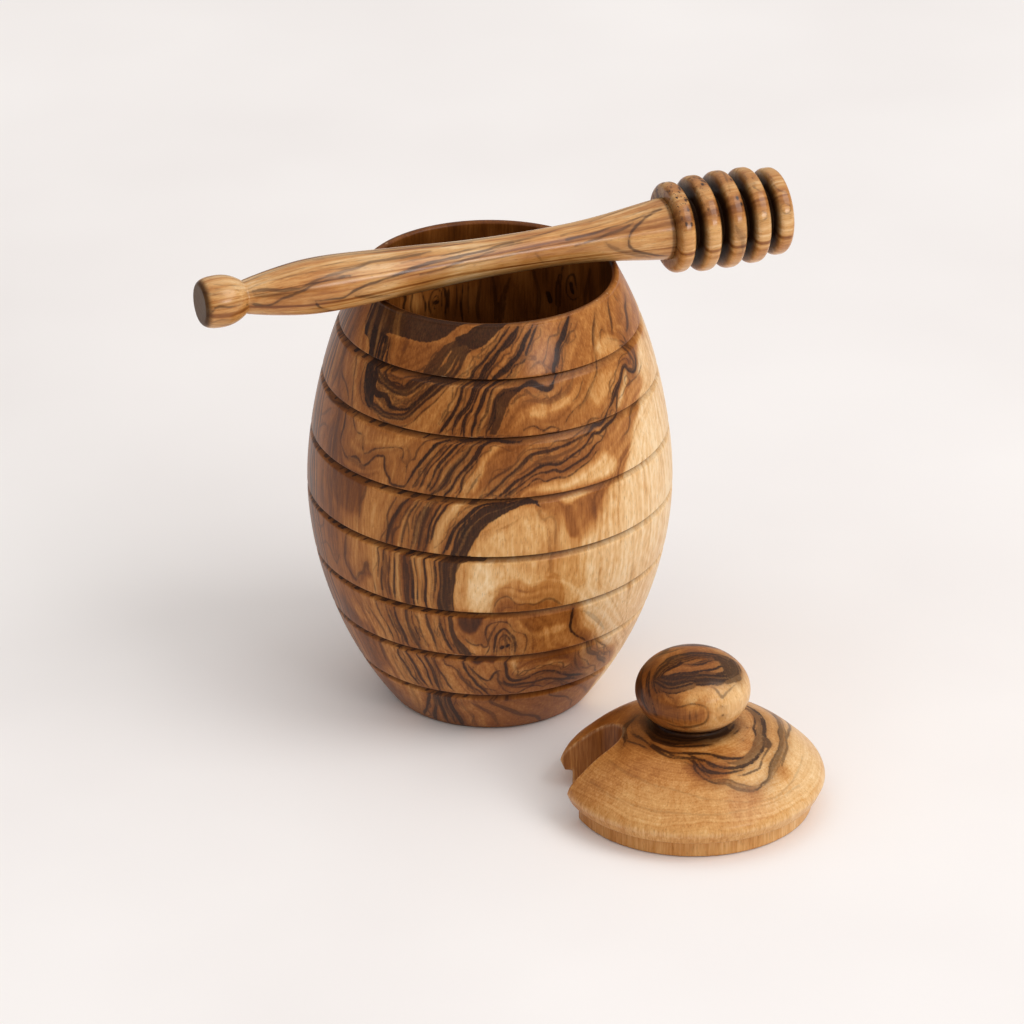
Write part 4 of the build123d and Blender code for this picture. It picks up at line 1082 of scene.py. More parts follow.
# Each stroke: width in mm, darkness, then degrees and distance up the outline by turns.
LID_STROKES = [
    (.9, .9, [-138, 34.8, -124, 33.6, -112, 33.2, -95, 34, -80, 33.6, -68, 31.6, -56, 30, -48, 29.2, -40, 30,
        -29, 31.4, -18, 32.4, -5, 33.6, 12, 33, 26, 32.4, 45, 34, 70, 35]),
    (.8, .88, [-120, 33.6, -107, 32.4, -95, 32.2, -87, 31.8, -78, 30.2, -72, 28.4, -64, 27.4, -56, 27.2,
        -49, 27.2, -39, 28, -31, 28.8, -24, 29.8, -15, 30.8, 0, 31, 13, 31.4, 26, 31.2, 44, 31, 66, 32.4]),
    (2.2, .52, [38, 33.2, 24, 32.2, 9, 32, -9, 32, -24, 31.2, -37, 29.6, -48, 28.8, -56, 28.4, -64, 29.2]),
    (.6, .95, [40, 31, 28, 30.4, 12, 30.6, -6, 30.6, -21, 30, -30, 28.6, -40, 27.6, -50, 27, -58, 27,
        -66, 28, -76, 29.8, -86, 32.2]),
    (1.9, .58, [37, 22, 20, 24.8, 7, 25.6, -6, 25.6, -18, 25, -27, 24.2, -36, 23, -44, 21.4, -50, 20.2]),
    (2.1, .55, [-50, 20.2, -57, 20.2, -62, 21.2, -66, 22.2, -70, 23.6, -76, 24, -82, 25.2]),
    (.7, .9, [-92, 32.2, -88, 29.4, -84, 27.2, -80, 25.8]),
    (.6, .85, [-87, 31.2, -83, 28.6, -78, 27.2, -72, 26.6]), (.5, .8, [-82, 31, -77, 28.8, -71, 27.4]),
    (.8, .9, [-95, 33.6, -89, 32.2, -84, 30.8]), (2.4, .75, [-19, 29.9, -21, 29.2, -24, 28.8]),
    (.6, .7, [-62, 25, -54, 24.6, -46, 25, -38, 26.6, -30, 27.4, -18, 28]),
    (.5, .6, [-70, 30.6, -60, 29, -50, 28.6]),
    (.7, .85, [-156, 34.2, -142, 34.2, -128, 33.2, -118, 32.2, -106, 31.6, -95, 31.8, -90, 30.4, -86, 28.4,
        -82, 27.4, -77, 26.6, -70, 26.4, -64, 26.4, -56, 26.2]),
    (.8, .75, [-90, 31.4, -90, 28.4, -86, 26.2, -82, 25, -76, 23.8, -69, 23.6, -65, 22, -60, 20.8, -55, 19.8,
        -50, 20.6, -45, 21.4, -41, 22.8, -35, 24.4, -29, 25, -20, 25.6, -10, 26.2, 1, 26.8, 17, 25.6,
        34, 24.6, 52, 24.8, 74, 27]),
    (1.4, .85, [162, 35, 172, 34, 179, 32.6, 190, 31.6, 201, 31.2, 207, 29.6]),
    (.9, .85, [-159, 31.2, -150, 31.6, -142, 32.2, -130, 32.4]),
    (.8, .8, [-166, 33.6, -153, 33.8, -142, 33.6]), (.8, .6, [31, 18.8, 1, 24.4, -19, 23.8, -31, 22.2]),
    (1, .6, [-100, 31, -92, 29.6, -88, 27.4]), (1.2, .7, [130, 33, 110, 31.5, 92, 32.5, 76, 34]),
    (.7, .5, [150, 27, 120, 25.5, 95, 26, 76, 28]),
    # This stroke and the next seven run round the neck's cove: dark partly from the wood, partly painted
    # shade under the knob.
    (4.4, .95, [-178, 38.6, -152, 38.4, -132, 38.2, -110, 38.6, -84, 39.2, -62, 39.6]),
    (3.2, .8, [-66, 39.6, -50, 39.7, -36, 39.8]), (2, .8, [-40, 40.8, -18, 41]),
    (.7, .8, [-40, 38.6, -12, 38.8]), (.5, .7, [-36, 37.4, -16, 37.2]),
    (1, .85, [-160, 36.6, -145, 36.4, -130, 35.8, -110, 36, -90, 36.6, -70, 36.8]),
    (2.4, .95, [-168, 40.2, -145, 40.8, -121, 41.4, -95, 42, -60, 41.4, -30, 41]),
    (1.6, .6, [180, 40, 120, 40.4, 60, 40.6, 0, 40.4]),
    (2.2, .96, [-150, 58.2, -154, 59.6, -157, 61.7, -156, 64.3, -153, 66.6, -117, 68.6, -37, 68.3, -4, 65.6,
        5, 62.9, 4, 60.4, -3, 58.5, -12, 57.4, -26, 57.1]),
    (2.4, .97, [-149, 58, -133, 58.5, -116, 59.4, -96, 60.6, -74, 60.8, -56, 60, -39, 58.5, -26, 57.1]),
    (2.8, .85, [-24, 59, -14, 60, -6, 62, -8, 64]), (2.8, .85, [-34, 59.6, -24, 61.6, -14, 63.4, -14, 65.4]),
    (4.4, .9, [-152, 64.1, -140, 66.6, -100, 68.9, -39, 68.3, -13, 66, -3, 63, -2, 60.6]),
    (3.4, .93, [-147, 58.4, -149, 60.4, -148, 62.4, -142, 64.6]),
    (1.9, .9, [-121, 65, -98, 65.1, -74, 65.5, -44, 65.5, -24, 64.4]),
    (3.2, .9, [-143, 58.2, -129, 59.2, -112, 60.1, -93, 60.6, -73, 60.8, -52, 60.5, -29, 59.6]),
    (2, .92, [-132, 57.9, -116, 58.9, -99, 59.6, -81, 59.8, -63, 59.4, -46, 58.4, -32, 57.9]),
    (3.4, .85, [0, 60, -9, 59.1, -21, 58.3, -34, 58.5]),
    (2.8, .92, [-143, 57, -129, 57, -116, 57.4, -104, 58.3, -93, 59]),
    (1, .95, [-136, 58.9, -120, 61.1, -101, 62.1, -78, 62.7, -53, 62.5, -23, 61.7, -6, 61]),
    (2, .88, [-172, 60, -167, 58.6, -160, 57, -152, 55.2, -144, 53.4, -136, 51.2, -131, 49]),
    (1.1, .85, [164, 58.2, 174, 56.6, 186, 55.2, 200, 53.3, 210, 51.1, 217, 48.7]),
    (1.8, .7, [162, 54.4, 176, 53.8, 192, 52.8, 205, 51.4, 215, 49.9]),
    (.9, .75, [-160, 52.7, -149, 50.7, -139, 48.8]),
    (.6, .7, [-155, 53.4, -146, 51.4, -136, 49.2, -130, 47.6]),
    (.6, .65, [-147, 53.6, -139, 51.8, -132, 50]), (.5, .6, [-150, 50, -142, 48, -136, 46.4]),
    (1.6, .88, [-156, 59.1, -148, 57.1, -140, 55.6, -134, 54.7]),
    (1.3, .8, [-144, 57.6, -128, 57.1, -115, 57.4, -103, 58.5, -93, 58.9, -86, 60]),
    (.9, .8, [-138, 56.1, -130, 55.2, -126, 56.1, -120, 55.1, -113, 54.7, -111, 53.8, -108, 53.3]),
    (.6, .5, [-74, 59.3, -70, 58, -64, 56.6, -59, 54.7, -53, 55.2, -42, 55.7, -27, 56.2]),
    (.6, .7, [-69, 59.1, -64, 58, -60, 57.8, -49, 57.8, -45, 57.1]),
    (2.2, .6, [-44, 57.6, -32, 57.4, -22, 57]),
    (2.4, .72, [164, 60.4, 150, 62.4, 135, 60.6, 122, 62.6, 92, 64.4, 58, 62.6, 45, 59.3, 24, 58.6]),
    (1, .7, [164, 58.2, 163, 61.3, 156, 64.6, 130, 66.4]),
    (.9, .7, [160, 50, 140, 54, 115, 57, 85, 57.6, 50, 56, 20, 54.6]),
    (.5, .55, [150, 47, 120, 52, 80, 53.6, 45, 52]),
    (.6, .6, [-120, 51.4, -104, 52.7, -94, 53.5, -84, 53.1, -78, 52.2, -76, 50.2, -78, 48.4, -84, 47.4,
        -96, 46.6, -114, 46.6, -125, 47.3]),
    (.6, .9, [-60, 49.7, -59, 49.7]), (.5, .9, [-61, 52.3, -60, 52.3]), (.6, .9, [-10, 35.2, -9, 35.2]),
    (.5, .8, [-35, 34, -34, 34]), (1.6, .5, [178, 57.5, 184, 54, 192, 51, 203, 48.6, 214, 46]),
    (1.2, .5, [168, 59, 172, 55, 180, 51, 190, 48, 198, 45.6]),
    (1.8, .4, [-150, 54.4, -142, 52.6, -137, 50.4]), (.5, .6, [-132, 54, -128, 51.6, -124, 49.6]),
    (.5, .5, [-118, 50, -117, 47]), (.5, .5, [-112, 50.4, -111, 46.6]), (.5, .5, [-106, 51, -105, 46.6]),
    (.5, .5, [-100, 51.4, -99, 46.8]), (.5, .5, [-94, 51.6, -93, 47.4]), (.5, .4, [-88, 51.6, -87, 48]),
    (.5, .16, [-150, 17, -120, 16, -90, 15.6, -60, 15.2, -30, 15.6]),
    (.5, .16, [-150, 24, -120, 22.8, -96, 21.6, -84, 19.6, -70, 18.2, -56, 16.6, -44, 16.4, -30, 17.6,
        -10, 19]),
]
# Each wash of tone: tone, degrees, distance up the outline, spread in mm. Many of them, light on the right
# towards the lamps and dark on the left, on the dome and the knob, are partly the wood's tone and partly
# painted light and shade.
LID_TONE_AND_LIGHT_WASHES = [
    (.55, 150, 26, 16), (.6, -150, 24, 11), (.7, -100, 18, 12), (.74, -50, 12, 12), (.87, -15, 12, 14),
    (.86, 20, 14, 14), (.74, 70, 18, 16), (.7, -30, 33, 5), (.66, 10, 33, 5), (.86, -44, 25.4, 2.2),
    (.76, -80, 51, 6), (.72, -100, 55, 4), (.93, -20, 51, 6), (.84, -50, 46, 5), (.4, -150, 50, 6),
    (.34, 165, 50, 5), (.42, -100, 49, 4.2), (.46, 150, 54, 7), (.52, 90, 58, 6), (.6, 30, 55, 5),
    (.46, -105, 63, 4), (.22, 176, 56, 3.4), (.28, -164, 52, 3.4), (.34, -172, 47, 3), (.4, -142, 55, 2.6),
    (.66, -97, 54.8, 3), (.8, -70, 52.4, 4), (.42, -130, 51.2, 2.6), (.48, -126, 54.1, 2),
    (.33, -106, 50, 2.8), (.33, -95, 50.3, 2.8), (.35, -85, 50.2, 2.2), (.5, -60, 65, 3), (.46, -120, 69, 4),
    (.52, 100, 66.5, 3), (.5, -107, 46.7, 2), (.72, -85, 45.3, 2), (.86, -45, 52.1, 3.5), (.78, -59, 49, 3),
    (.54, -67, 33.8, 3), (.56, -55, 31.8, 2.5), (.66, -28, 35, 3.5), (.66, -4, 38.1, 3), (.6, -38, 31.8, 2),
    (.5, -96, 36.9, 2.4), (.42, -111, 34.8, 2), (.34, 175, 35.6, 3), (.38, -153, 33, 3),
    (.36, -135, 33.2, 2.4), (.52, -134, 29.2, 3.5), (.6, -116, 28.2, 4), (.7, -2, 29, 2.5),
    (.72, 37, 21.4, 4), (.58, -59, 19, 2.2), (.6, -33, 21, 2), (.66, -68, 18.2, 2.5), (.3, -87, 29, 2.6),
    (.34, -79, 27.6, 2), (.42, -71, 27, 1.6), (.78, -34, 26, 2), (.86, -53, 23.8, 2.2), (.8, -64, 24.4, 1.6),
    (.72, -94, 54.7, 2.3), (.4, 152, 25.4, 5),
]
LID_BASE_TONE = .68
LID_WOBBLE = .12


def paint(obj, points, strokes, washes, surface, tone_at_rest, wobble):
    """Ink and tone of a piece from its strokes and washes, the washes partly painted light and shade."""
    spots = points + wobble * np.stack([waves(points, 7.0, k) for k in (41, 42, 43)], 1)
    edge, depth, halo = draw(spots, normals(obj), strokes, surface)
    tone = np.full(len(points), tone_at_rest)
    for value, a, s, spread in washes:
        centre = surface(np.array([[a, s]], float))[0]
        tone += (value - tone) * np.exp(-((points - centre) ** 2).sum(1) / (2 * spread ** 2))
    return {"ink_edge": edge, "ink_dark": depth, "halo": halo, "tone": tone}


def lid_copy():
    """A copy of the lid's node with a fine, even mesh, and its points in millimetres."""
    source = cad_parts["lid"]
    obj = source.copy()
    obj.data = source.data.copy()
    for key in list(obj.keys()):
        del obj[key]
    obj.parent = None
    obj.name = "lid_turned"
    bpy.context.scene.collection.objects.link(obj)
    obj.modifiers.new("weld", "WELD").merge_threshold = 1e-6
    grid = obj.modifiers.new("grid", "REMESH")
    grid.mode = "VOXEL"
    grid.voxel_size = LID_VOXEL * MM
    mesh = bpy.data.meshes.new_from_object(obj.evaluated_get(bpy.context.evaluated_depsgraph_get()))
    obj.modifiers.clear()
    obj.data = mesh
    mesh.materials.clear()
    points = np.empty(len(mesh.vertices) * 3, np.float32)
    mesh.vertices.foreach_get("co", points)
    return obj, points.reshape(-1, 3).astype(float) / MM


def drawn_onto(shape, points):
    """Points moved onto a shape's surface in a few short steps, and none of them below the floor."""
    for _ in range(5):
        off = shape.distance(points)
        slope = np.stack([(shape.distance(points + axis * PROBE) - off) / PROBE for axis in np.eye(3)], 1)
        points = points - np.clip(off, -.4, .4)[:, None] * slope / (slope ** 2).sum(1).clip(.2)[:, None]
    points[:, 2] = points[:, 2].clip(0)
    return points


def dress_lid():
    """The lid, on a finer mesh of its CAD solid: rings on the dome, fibres along the rim and in the slot."""
    obj, points = lid_copy()
    shape = LidShape()
    points = drawn_onto(shape, points)
    obj.data.vertices.foreach_set("co", (points * MM).astype(np.float32).ravel())
    obj.data.shade_smooth()
    obj.data.update()
    fields = paint(obj, points, LID_STROKES, LID_TONE_AND_LIGHT_WASHES, lid_surface, LID_BASE_TONE, LID_WOBBLE)
    x, y, z = (points - [*LID_AT, 0]).T
    r, a = np.hypot(x, y), np.arctan2(y, x)
    wall = np.abs(slot_distance(x, y))
    slot = (wall < .4) & (r < 34) & (z < 20)
    rim, knob = smoothstep(9.5, 7.5, z), smoothstep(23, 25, z)
    rings = r + .35 * waves(points, 34.0, 31) + .1 * waves(points, 9.0, 32)
    turned = .5 * z + .7 * r + .9 * waves(points, 14.0, 36)
    across = np.where(knob > .5, turned, np.where(rim > .5, 30 * a, rings))
    across = np.where(slot, .9 * x + .3 * waves(points, 8.0, 38), across)
    streak = (noise_along(rings, 1.6, 33) + .4 * noise_along(rings, .6, 34)) * .4 * (1 - knob) * (1 - rim)
    streak += .9 * knob * noise_along(turned, .8, 37)
    # Painted shade under the knob, round its neck: stronger on the left and front than at the back right.
    shade_under_knob = smoothstep(14.5, 10.5, r) * smoothstep(20, 22, z) * smoothstep(28, 25.5, z)
    fields["tone"] = np.where(slot, .40 + .12 * smoothstep(18, 32, r), fields["tone"])
    store(obj, **fields, across=across,
          wear=np.maximum(smoothstep(.9, .1, np.maximum(np.abs(shape.body(r, z)), wall)),
                          smoothstep(1.1, .3, np.hypot(r - BRIM[0], z - BRIM[1]))),
          streak=np.where(slot, .5 * noise_along(across, 1.4, 39), streak),
          hollow=np.interp(np.degrees(a), [-180, -20, 10, 120, 180], [.8, .8, .4, .4, .8]) * shade_under_knob)
    return obj


def disc(radius, middle, last):
    """A disc's outline with rounded edges, and the core up to the next disc, or the last one's flat end."""
    low, high = middle - DISC_THICKNESS / 2, middle + DISC_THICKNESS / 2
    flat = radius - DISC_ROUND
    parts = [np.array([[CORE_RADIUS, low]]), line((CORE_RADIUS + CORE_ROUND, low), (flat, low), .45),
             arc((flat, low + DISC_ROUND), DISC_ROUND, -90, 0, 9),
             line((radius, low + DISC_ROUND), (radius, high - DISC_ROUND), .3),
             arc((flat, high - DISC_ROUND), DISC_ROUND, 0, 90, 9)]
    if last:
        return parts + [line((flat, high), (0, high), .8)]
    return parts + [line((flat, high), (CORE_RADIUS + CORE_ROUND, high), .5),
                    line((CORE_RADIUS, high), (CORE_RADIUS, low + DISC_PITCH - CORE_ROUND), .6)]


def dipper_profile():
    """The dipper's outline from the middle of its end knob to the middle of its last disc."""
    parts = [line((0, 0), (4.6, 0), .5), rounded([(2, 0), END_KNOB[0], END_KNOB[1]], .5),
             spline(END_KNOB, .3)[2:],
             spline(HANDLE, .45)]
    for i, radius in enumerate(DISC_RADII):
        parts += disc(radius, DISC_FIRST + i * DISC_PITCH, i == len(DISC_RADII) - 1)
    return chain(*parts) * [DIPPER_SHRINK, 1]


def dipper_place(p):
    """From the dipper's own frame, its axis along Z, to the scene."""
    t = math.radians(DIPPER_AZIMUTH)
    axis, side = np.array([math.cos(t), math.sin(t), 0]), np.array([math.sin(t), -math.cos(t), 0])
    return np.array(DIPPER_END) + p[:, :1] * [0, 0, 1] + p[:, 1:2] * side + p[:, 2:] * axis


# Each stroke: width in mm, darkness, then degrees from the top and distance along the axis by turns.
DIPPER_STROKES = [
    (.4, .5, [12, .4, 29, 5, 34, 10.8]), (.4, .5, [27, .4, 40, 5.2, 47, 10.7]),
    (1.2, .45, [32, 0, 46, 1.8, 50, 4.4]), (.7, .8, [106, 0, 78, 2, 80, 5.4, 82, 8.7]),
    (.4, .5, [126, 0, 111, 3.8, 124, 9.1]), (.5, .6, [131, 0, 129, 3.6, 148, 8.5]),
    (.4, .5, [-40, 0, -30, 5, -35, 11]),
    (1, .6, [5, 11.6, 0, 18.9, -3, 27.3, 0, 37.6, 3, 48.5, 2, 59.8, -6, 72]),
    (.4, .7, [43, 11.2, 32, 15.9, 32, 20.6, 34, 25.8, 36, 31.1, 38, 37.8, 31, 43.6, 29, 50.5, 17, 60.5,
        6, 74]),
    (.9, .75, [53, 11.5, 53, 15.5, 64, 19.9, 65, 24.8, 58, 28.3, 51, 31.8, 46, 36.1, 42, 40.3, 33, 45.3,
        32, 53, 24, 62]),
    (.4, .55, [19, 14.7, 20, 21.1, 21, 26.3, 24, 32.8, 23, 39.8, 22, 48]),
    (.8, .85, [90, 11, 98, 16.9, 86, 19.6, 79, 22.1, 73, 24.8, 61, 29.1, 56, 33.1, 57, 38.6]),
    (.8, .9, [98, 28.6, 98, 32.6, 99, 36.6, 89, 39.3, 81, 42.3, 76, 46.5, 70, 52, 59, 57.8, 50, 66.5, 46, 75,
        34, 80.8, 31, 86.5]),
    (.9, .9, [98, 28.6, 112, 29.6, 130, 32.1, 156, 36.8, 156, 39.6]),
    (1.3, .6, [102, 39.6, 113, 43.8, 121, 49.5]), (1.6, .5, [66, 13.5, 74, 18.4, 75, 22.9]),
    (.5, .7, [45, 52.8, 40, 61.3, 38, 69.5, 33, 74.8]),
    (.7, .7, [80, 57.5, 77, 63.3, 65, 69, 59, 74, 47, 79, 39, 83.5, 37, 89]),
    (.6, .8, [41, 64, 33, 72.5, 27, 81, 26, 89.5, 11, 98.3, 8, 106.7, -6, 115.7, -9, 122.9, -37, 127.6]),
    (.5, .7, [37, 97.5, 29, 106, 23, 113, 18, 120.2, 11, 124.9]),
    (.6, .75, [52, 98.8, 44, 108.2, 37, 115.2, 29, 120.9, 21, 125.4]),
    (.8, .7, [73, 100.8, 62, 107.7, 51, 113.5, 40, 117.4]),
    (.9, .9, [22, 126.9, 28, 122.9, 41, 119.7, 57, 116.7, 73, 115.4, 92, 115.4, 106, 117.2, 118, 120.7,
        128, 125.6]),
    (1.4, .5, [77, 109.2, 96, 111.7, 115, 116.4, 130, 121.6]), (.8, .4, [77, 89.8, 95, 91, 110, 92]),
    (.4, .5, [76, 66, 74, 74.5, 68, 82.8, 62, 91.3]), (.4, .5, [14, 128.6, 29, 128.9, 40, 129.8]),
    (.4, .6, [20, 135.6, 36, 136.6, 42, 138.3]), (.5, .6, [-61, 146, -20, 143.5, 20, 142.4]),
    (.5, .6, [-66, 146.5, -10, 145, 33, 143.3]), (2.6, .45, [70, 142.4, 83, 143.8, 94, 144.8, 110, 145]),
    (.5, .6, [-10, 149.1, 11, 149.4, 30, 150.6]), (.5, .6, [0, 149.6, 28, 150, 39, 151.8]),
    (.4, .7, [62, 150.8, 66, 152, 71, 151.8, 74, 150.6, 71, 149.6, 66, 149.6, 62, 150.8]),
    (.5, .6, [-20, 156.5, 17, 156.8, 29, 157.6]), (.5, .6, [10, 156.2, 35, 156.8, 43, 159]),
    (.4, .7, [57, 157.8, 62, 159.2, 68, 159, 71, 157.6, 66, 156.6, 60, 156.8, 57, 157.8]),
]
# Each wash of tone: tone, degrees from the top, distance along the axis, spread in mm. On the handle the
# darker washes low on the side facing the camera and the lighter ones nearer the top are partly painted
# shade and light.
DIPPER_TONE_AND_LIGHT_WASHES = [
    (.58, 95, 22, 5), (.58, 120, 42, 8), (.55, 120, 60, 8), (.78, 40, 10, 5), (.72, 30, 40, 8),
    (.8, 62, 47, 4), (.8, 20, 75, 10), (.64, 70, 30, 4), (.62, 120, 90, 10), (.74, 40, 115, 8),
    (.58, 60, 144, 4), (.76, 80, 151, 4), (.78, 80, 158, 4), (.64, 0, 130, 5), (.64, 10, 137, 6),
    (.76, 90, 137, 4),
]
DIPPER_BASE_TONE = .67
DIPPER_WOBBLE = .07
# The dipper's strokes are drawn thinner and paler than listed.
THINNER, PALER = .85, .80


def dipper_surface(path):
    """Points given as (degrees from the top, distance along the axis) put on the dipper's outside."""
    s = path[:, 1]
    outline = END_KNOB + HANDLE
    r = np.interp(s, [along for _, along in outline], [radius for radius, _ in outline])
    for i, radius in enumerate(DISC_RADII):
        off = np.abs(s - DISC_FIRST - i * DISC_PITCH)
        r = np.where(off < DISC_PITCH / 2, radius - .6 * smoothstep(1.2, 2.4, off), r)
    return dipper_place(around(path, r))


def dipper_lines():
    """Grain along the side without listed strokes, and small pits on the first discs."""
    rng = np.random.default_rng(14)
    out = []
    for a0 in np.arange(150, 350, 11.0):
        start = rng.uniform(0, 60)
        s = np.arange(start, min(start + rng.uniform(40, 110), 128), 9.0)
        a = a0 + rng.uniform(-4, 4) + np.cumsum(rng.normal(0, 2.2, len(s)))
        out.append((float(rng.uniform(.35, .9)), float(rng.uniform(.45, .8)),
                    np.stack([a, s], 1).ravel().tolist()))
    for place, count in enumerate(PITS):
        for _ in range(count):
            a, s = rng.uniform(-50, 70), DISC_FIRST + place * DISC_PITCH + rng.uniform(-1.9, 1.9)
            out.append((float(rng.uniform(.3, .7)), .95, [a, s, a + 2, s]))
    return out


def dress_dipper():
    """The dipper: fibres along it, rings on its two end faces, and painted shade between its discs and on its
    knob's end face.
    """
    obj, local = lathe("dipper_turned", dipper_profile(), even_turn(DIPPER_SIDES), dipper_place)
    strokes = [(THINNER * width, PALER * dark, flat) for width, dark, flat in DIPPER_STROKES] + dipper_lines()
    fields = paint(obj, dipper_place(local), strokes, DIPPER_TONE_AND_LIGHT_WASHES, dipper_surface, DIPPER_BASE_TONE,
                   DIPPER_WOBBLE)
    x, y, s = local.T
    r, a = np.hypot(x, y), np.arctan2(y, x)
    girth = 6 * a + .6 * waves(np.stack([6 * np.cos(a), 6 * np.sin(a), .12 * s], 1), 5.0, 51)
    streak = 1.5 * noise_along(girth, .7, 52) + noise_along(girth + .03 * s, .35, 53)
    ends = np.maximum(smoothstep(1.5, .2, s), smoothstep(1.5, .2, s.max() - s))
    rings = noise_along(np.hypot(x + 24, y + 9), .55, 54)
    head = s > DISC_FIRST - DISC_PITCH / 2
    nearest = np.clip(np.round((s - DISC_FIRST) / DISC_PITCH), 0, len(DISC_RADII) - 1).astype(int)
    off = np.abs((s - DISC_FIRST + DISC_PITCH / 2) % DISC_PITCH - DISC_PITCH / 2)
    # Painted shade in the gaps between the discs, darker deeper towards the core and paler before the first
    # disc, and dark painted shade on the knob's end face.
    depth = smoothstep(.3, 3.6, np.array(DISC_RADII)[nearest] - r)
    gap = (smoothstep(1.45, 2.1, off) * head * (s < 160) * (.46 + .54 * depth)
           * np.where(s < DISC_FIRST, .55, 1))
    store(obj, **fields, streak=streak + ends * (rings - streak),
          hollow=np.maximum(gap, .90 * smoothstep(1.9, .3, s)),
          pitted=smoothstep(.5, -.5, a - math.radians(50)) * smoothstep(142, 132, s) * head)
    return obj


def rgb(*colour):
    """A colour as it shows on screen, as linear light."""
    shares = (c / 255 for c in colour)
    return tuple(c / 12.92 if c <= 0.04045 else ((c + 0.055) / 1.055) ** 2.4 for c in shares) + (1.0,)


class Nodes:
    """The node tree of a material or a world, built from nothing."""

    def __init__(self, owner):
        owner.use_nodes = True
        self.tree = owner.node_tree
        self.tree.nodes.clear()

    def add(self, kind, inputs=None, **settings):
        node = self.tree.nodes.new("ShaderNode" + kind)
        for key, value in settings.items():
            setattr(node, key, value)
        for key, value in (inputs or {}).items():
            if isinstance(value, bpy.types.NodeSocket):
                self.tree.links.new(value, node.inputs[key])
            else:
                node.inputs[key].default_value = value
        return node

    def math(self, operation, a, b=0.0, c=0.0, clamp=False):
        return self.add("Math", {0: a, 1: b, 2: c}, operation=operation, use_clamp=clamp).outputs[0]

    def spread(self, value, low, high, to_low=0.0, to_high=1.0, smooth=False):
        return self.add("MapRange", {0: value, 1: low, 2: high, 3: to_low, 4: to_high},
                        interpolation_type="SMOOTHSTEP" if smooth else "LINEAR").outputs[0]

    def mix(self, share, a, b):
        return self.add("Mix", {0: share, 6: a, 7: b}, data_type="RGBA").outputs[2]

    def field(self, name):
        return self.add("Attribute", attribute_name=name).outputs["Fac"]

    def noise(self, place, scale, detail, roughness=.5):
        inputs = {"Vector": place, "Scale": scale, "Detail": detail, "Roughness": roughness}
        return self.add("TexNoise", inputs).outputs[0]

    def ramp(self, value, stops):
        node = self.add("ValToRGB", {0: value})
        elements = node.color_ramp.elements
        while len(elements) < len(stops):
            elements.new(0.5)
        for element, (place, colour) in zip(elements, stops):
            element.position = place
            element.color = colour
        return node.outputs[0]


WOOD_TONES = [
    (0.0, rgb(44, 20, 8)), (.20, rgb(84, 42, 12)), (.36, rgb(124, 68, 22)), (.50, rgb(156, 94, 40)),
    (.62, rgb(186, 124, 62)), (.76, rgb(211, 158, 96)), (.90, rgb(230, 190, 138)), (1.0, rgb(239, 208, 164)),
]
# The last of these is painted shade, laid over the grooves' bevels.
FINE_BROWN, HALO_BROWN, BEVEL_SHADE_BROWN = rgb(104, 56, 22), rgb(98, 50, 16), rgb(100, 54, 12)
INK_DARK, INK_LIGHT = rgb(20, 8, 3), rgb(52, 23, 8)
# The last of these is painted shade: near-black brown laid into groove roots, the bore, under the lid's knob,
# between the dipper's discs and on its end face.
FLECK_BROWN, PIT_BROWN, SHADE_BROWN = rgb(84, 44, 18), rgb(24, 12, 6), rgb(34, 14, 5)
# Cream on sharp edges: partly edge wear, partly a painted highlight along the crisp edges.
WEAR_AND_GLINT_CREAM = rgb(236, 204, 160)


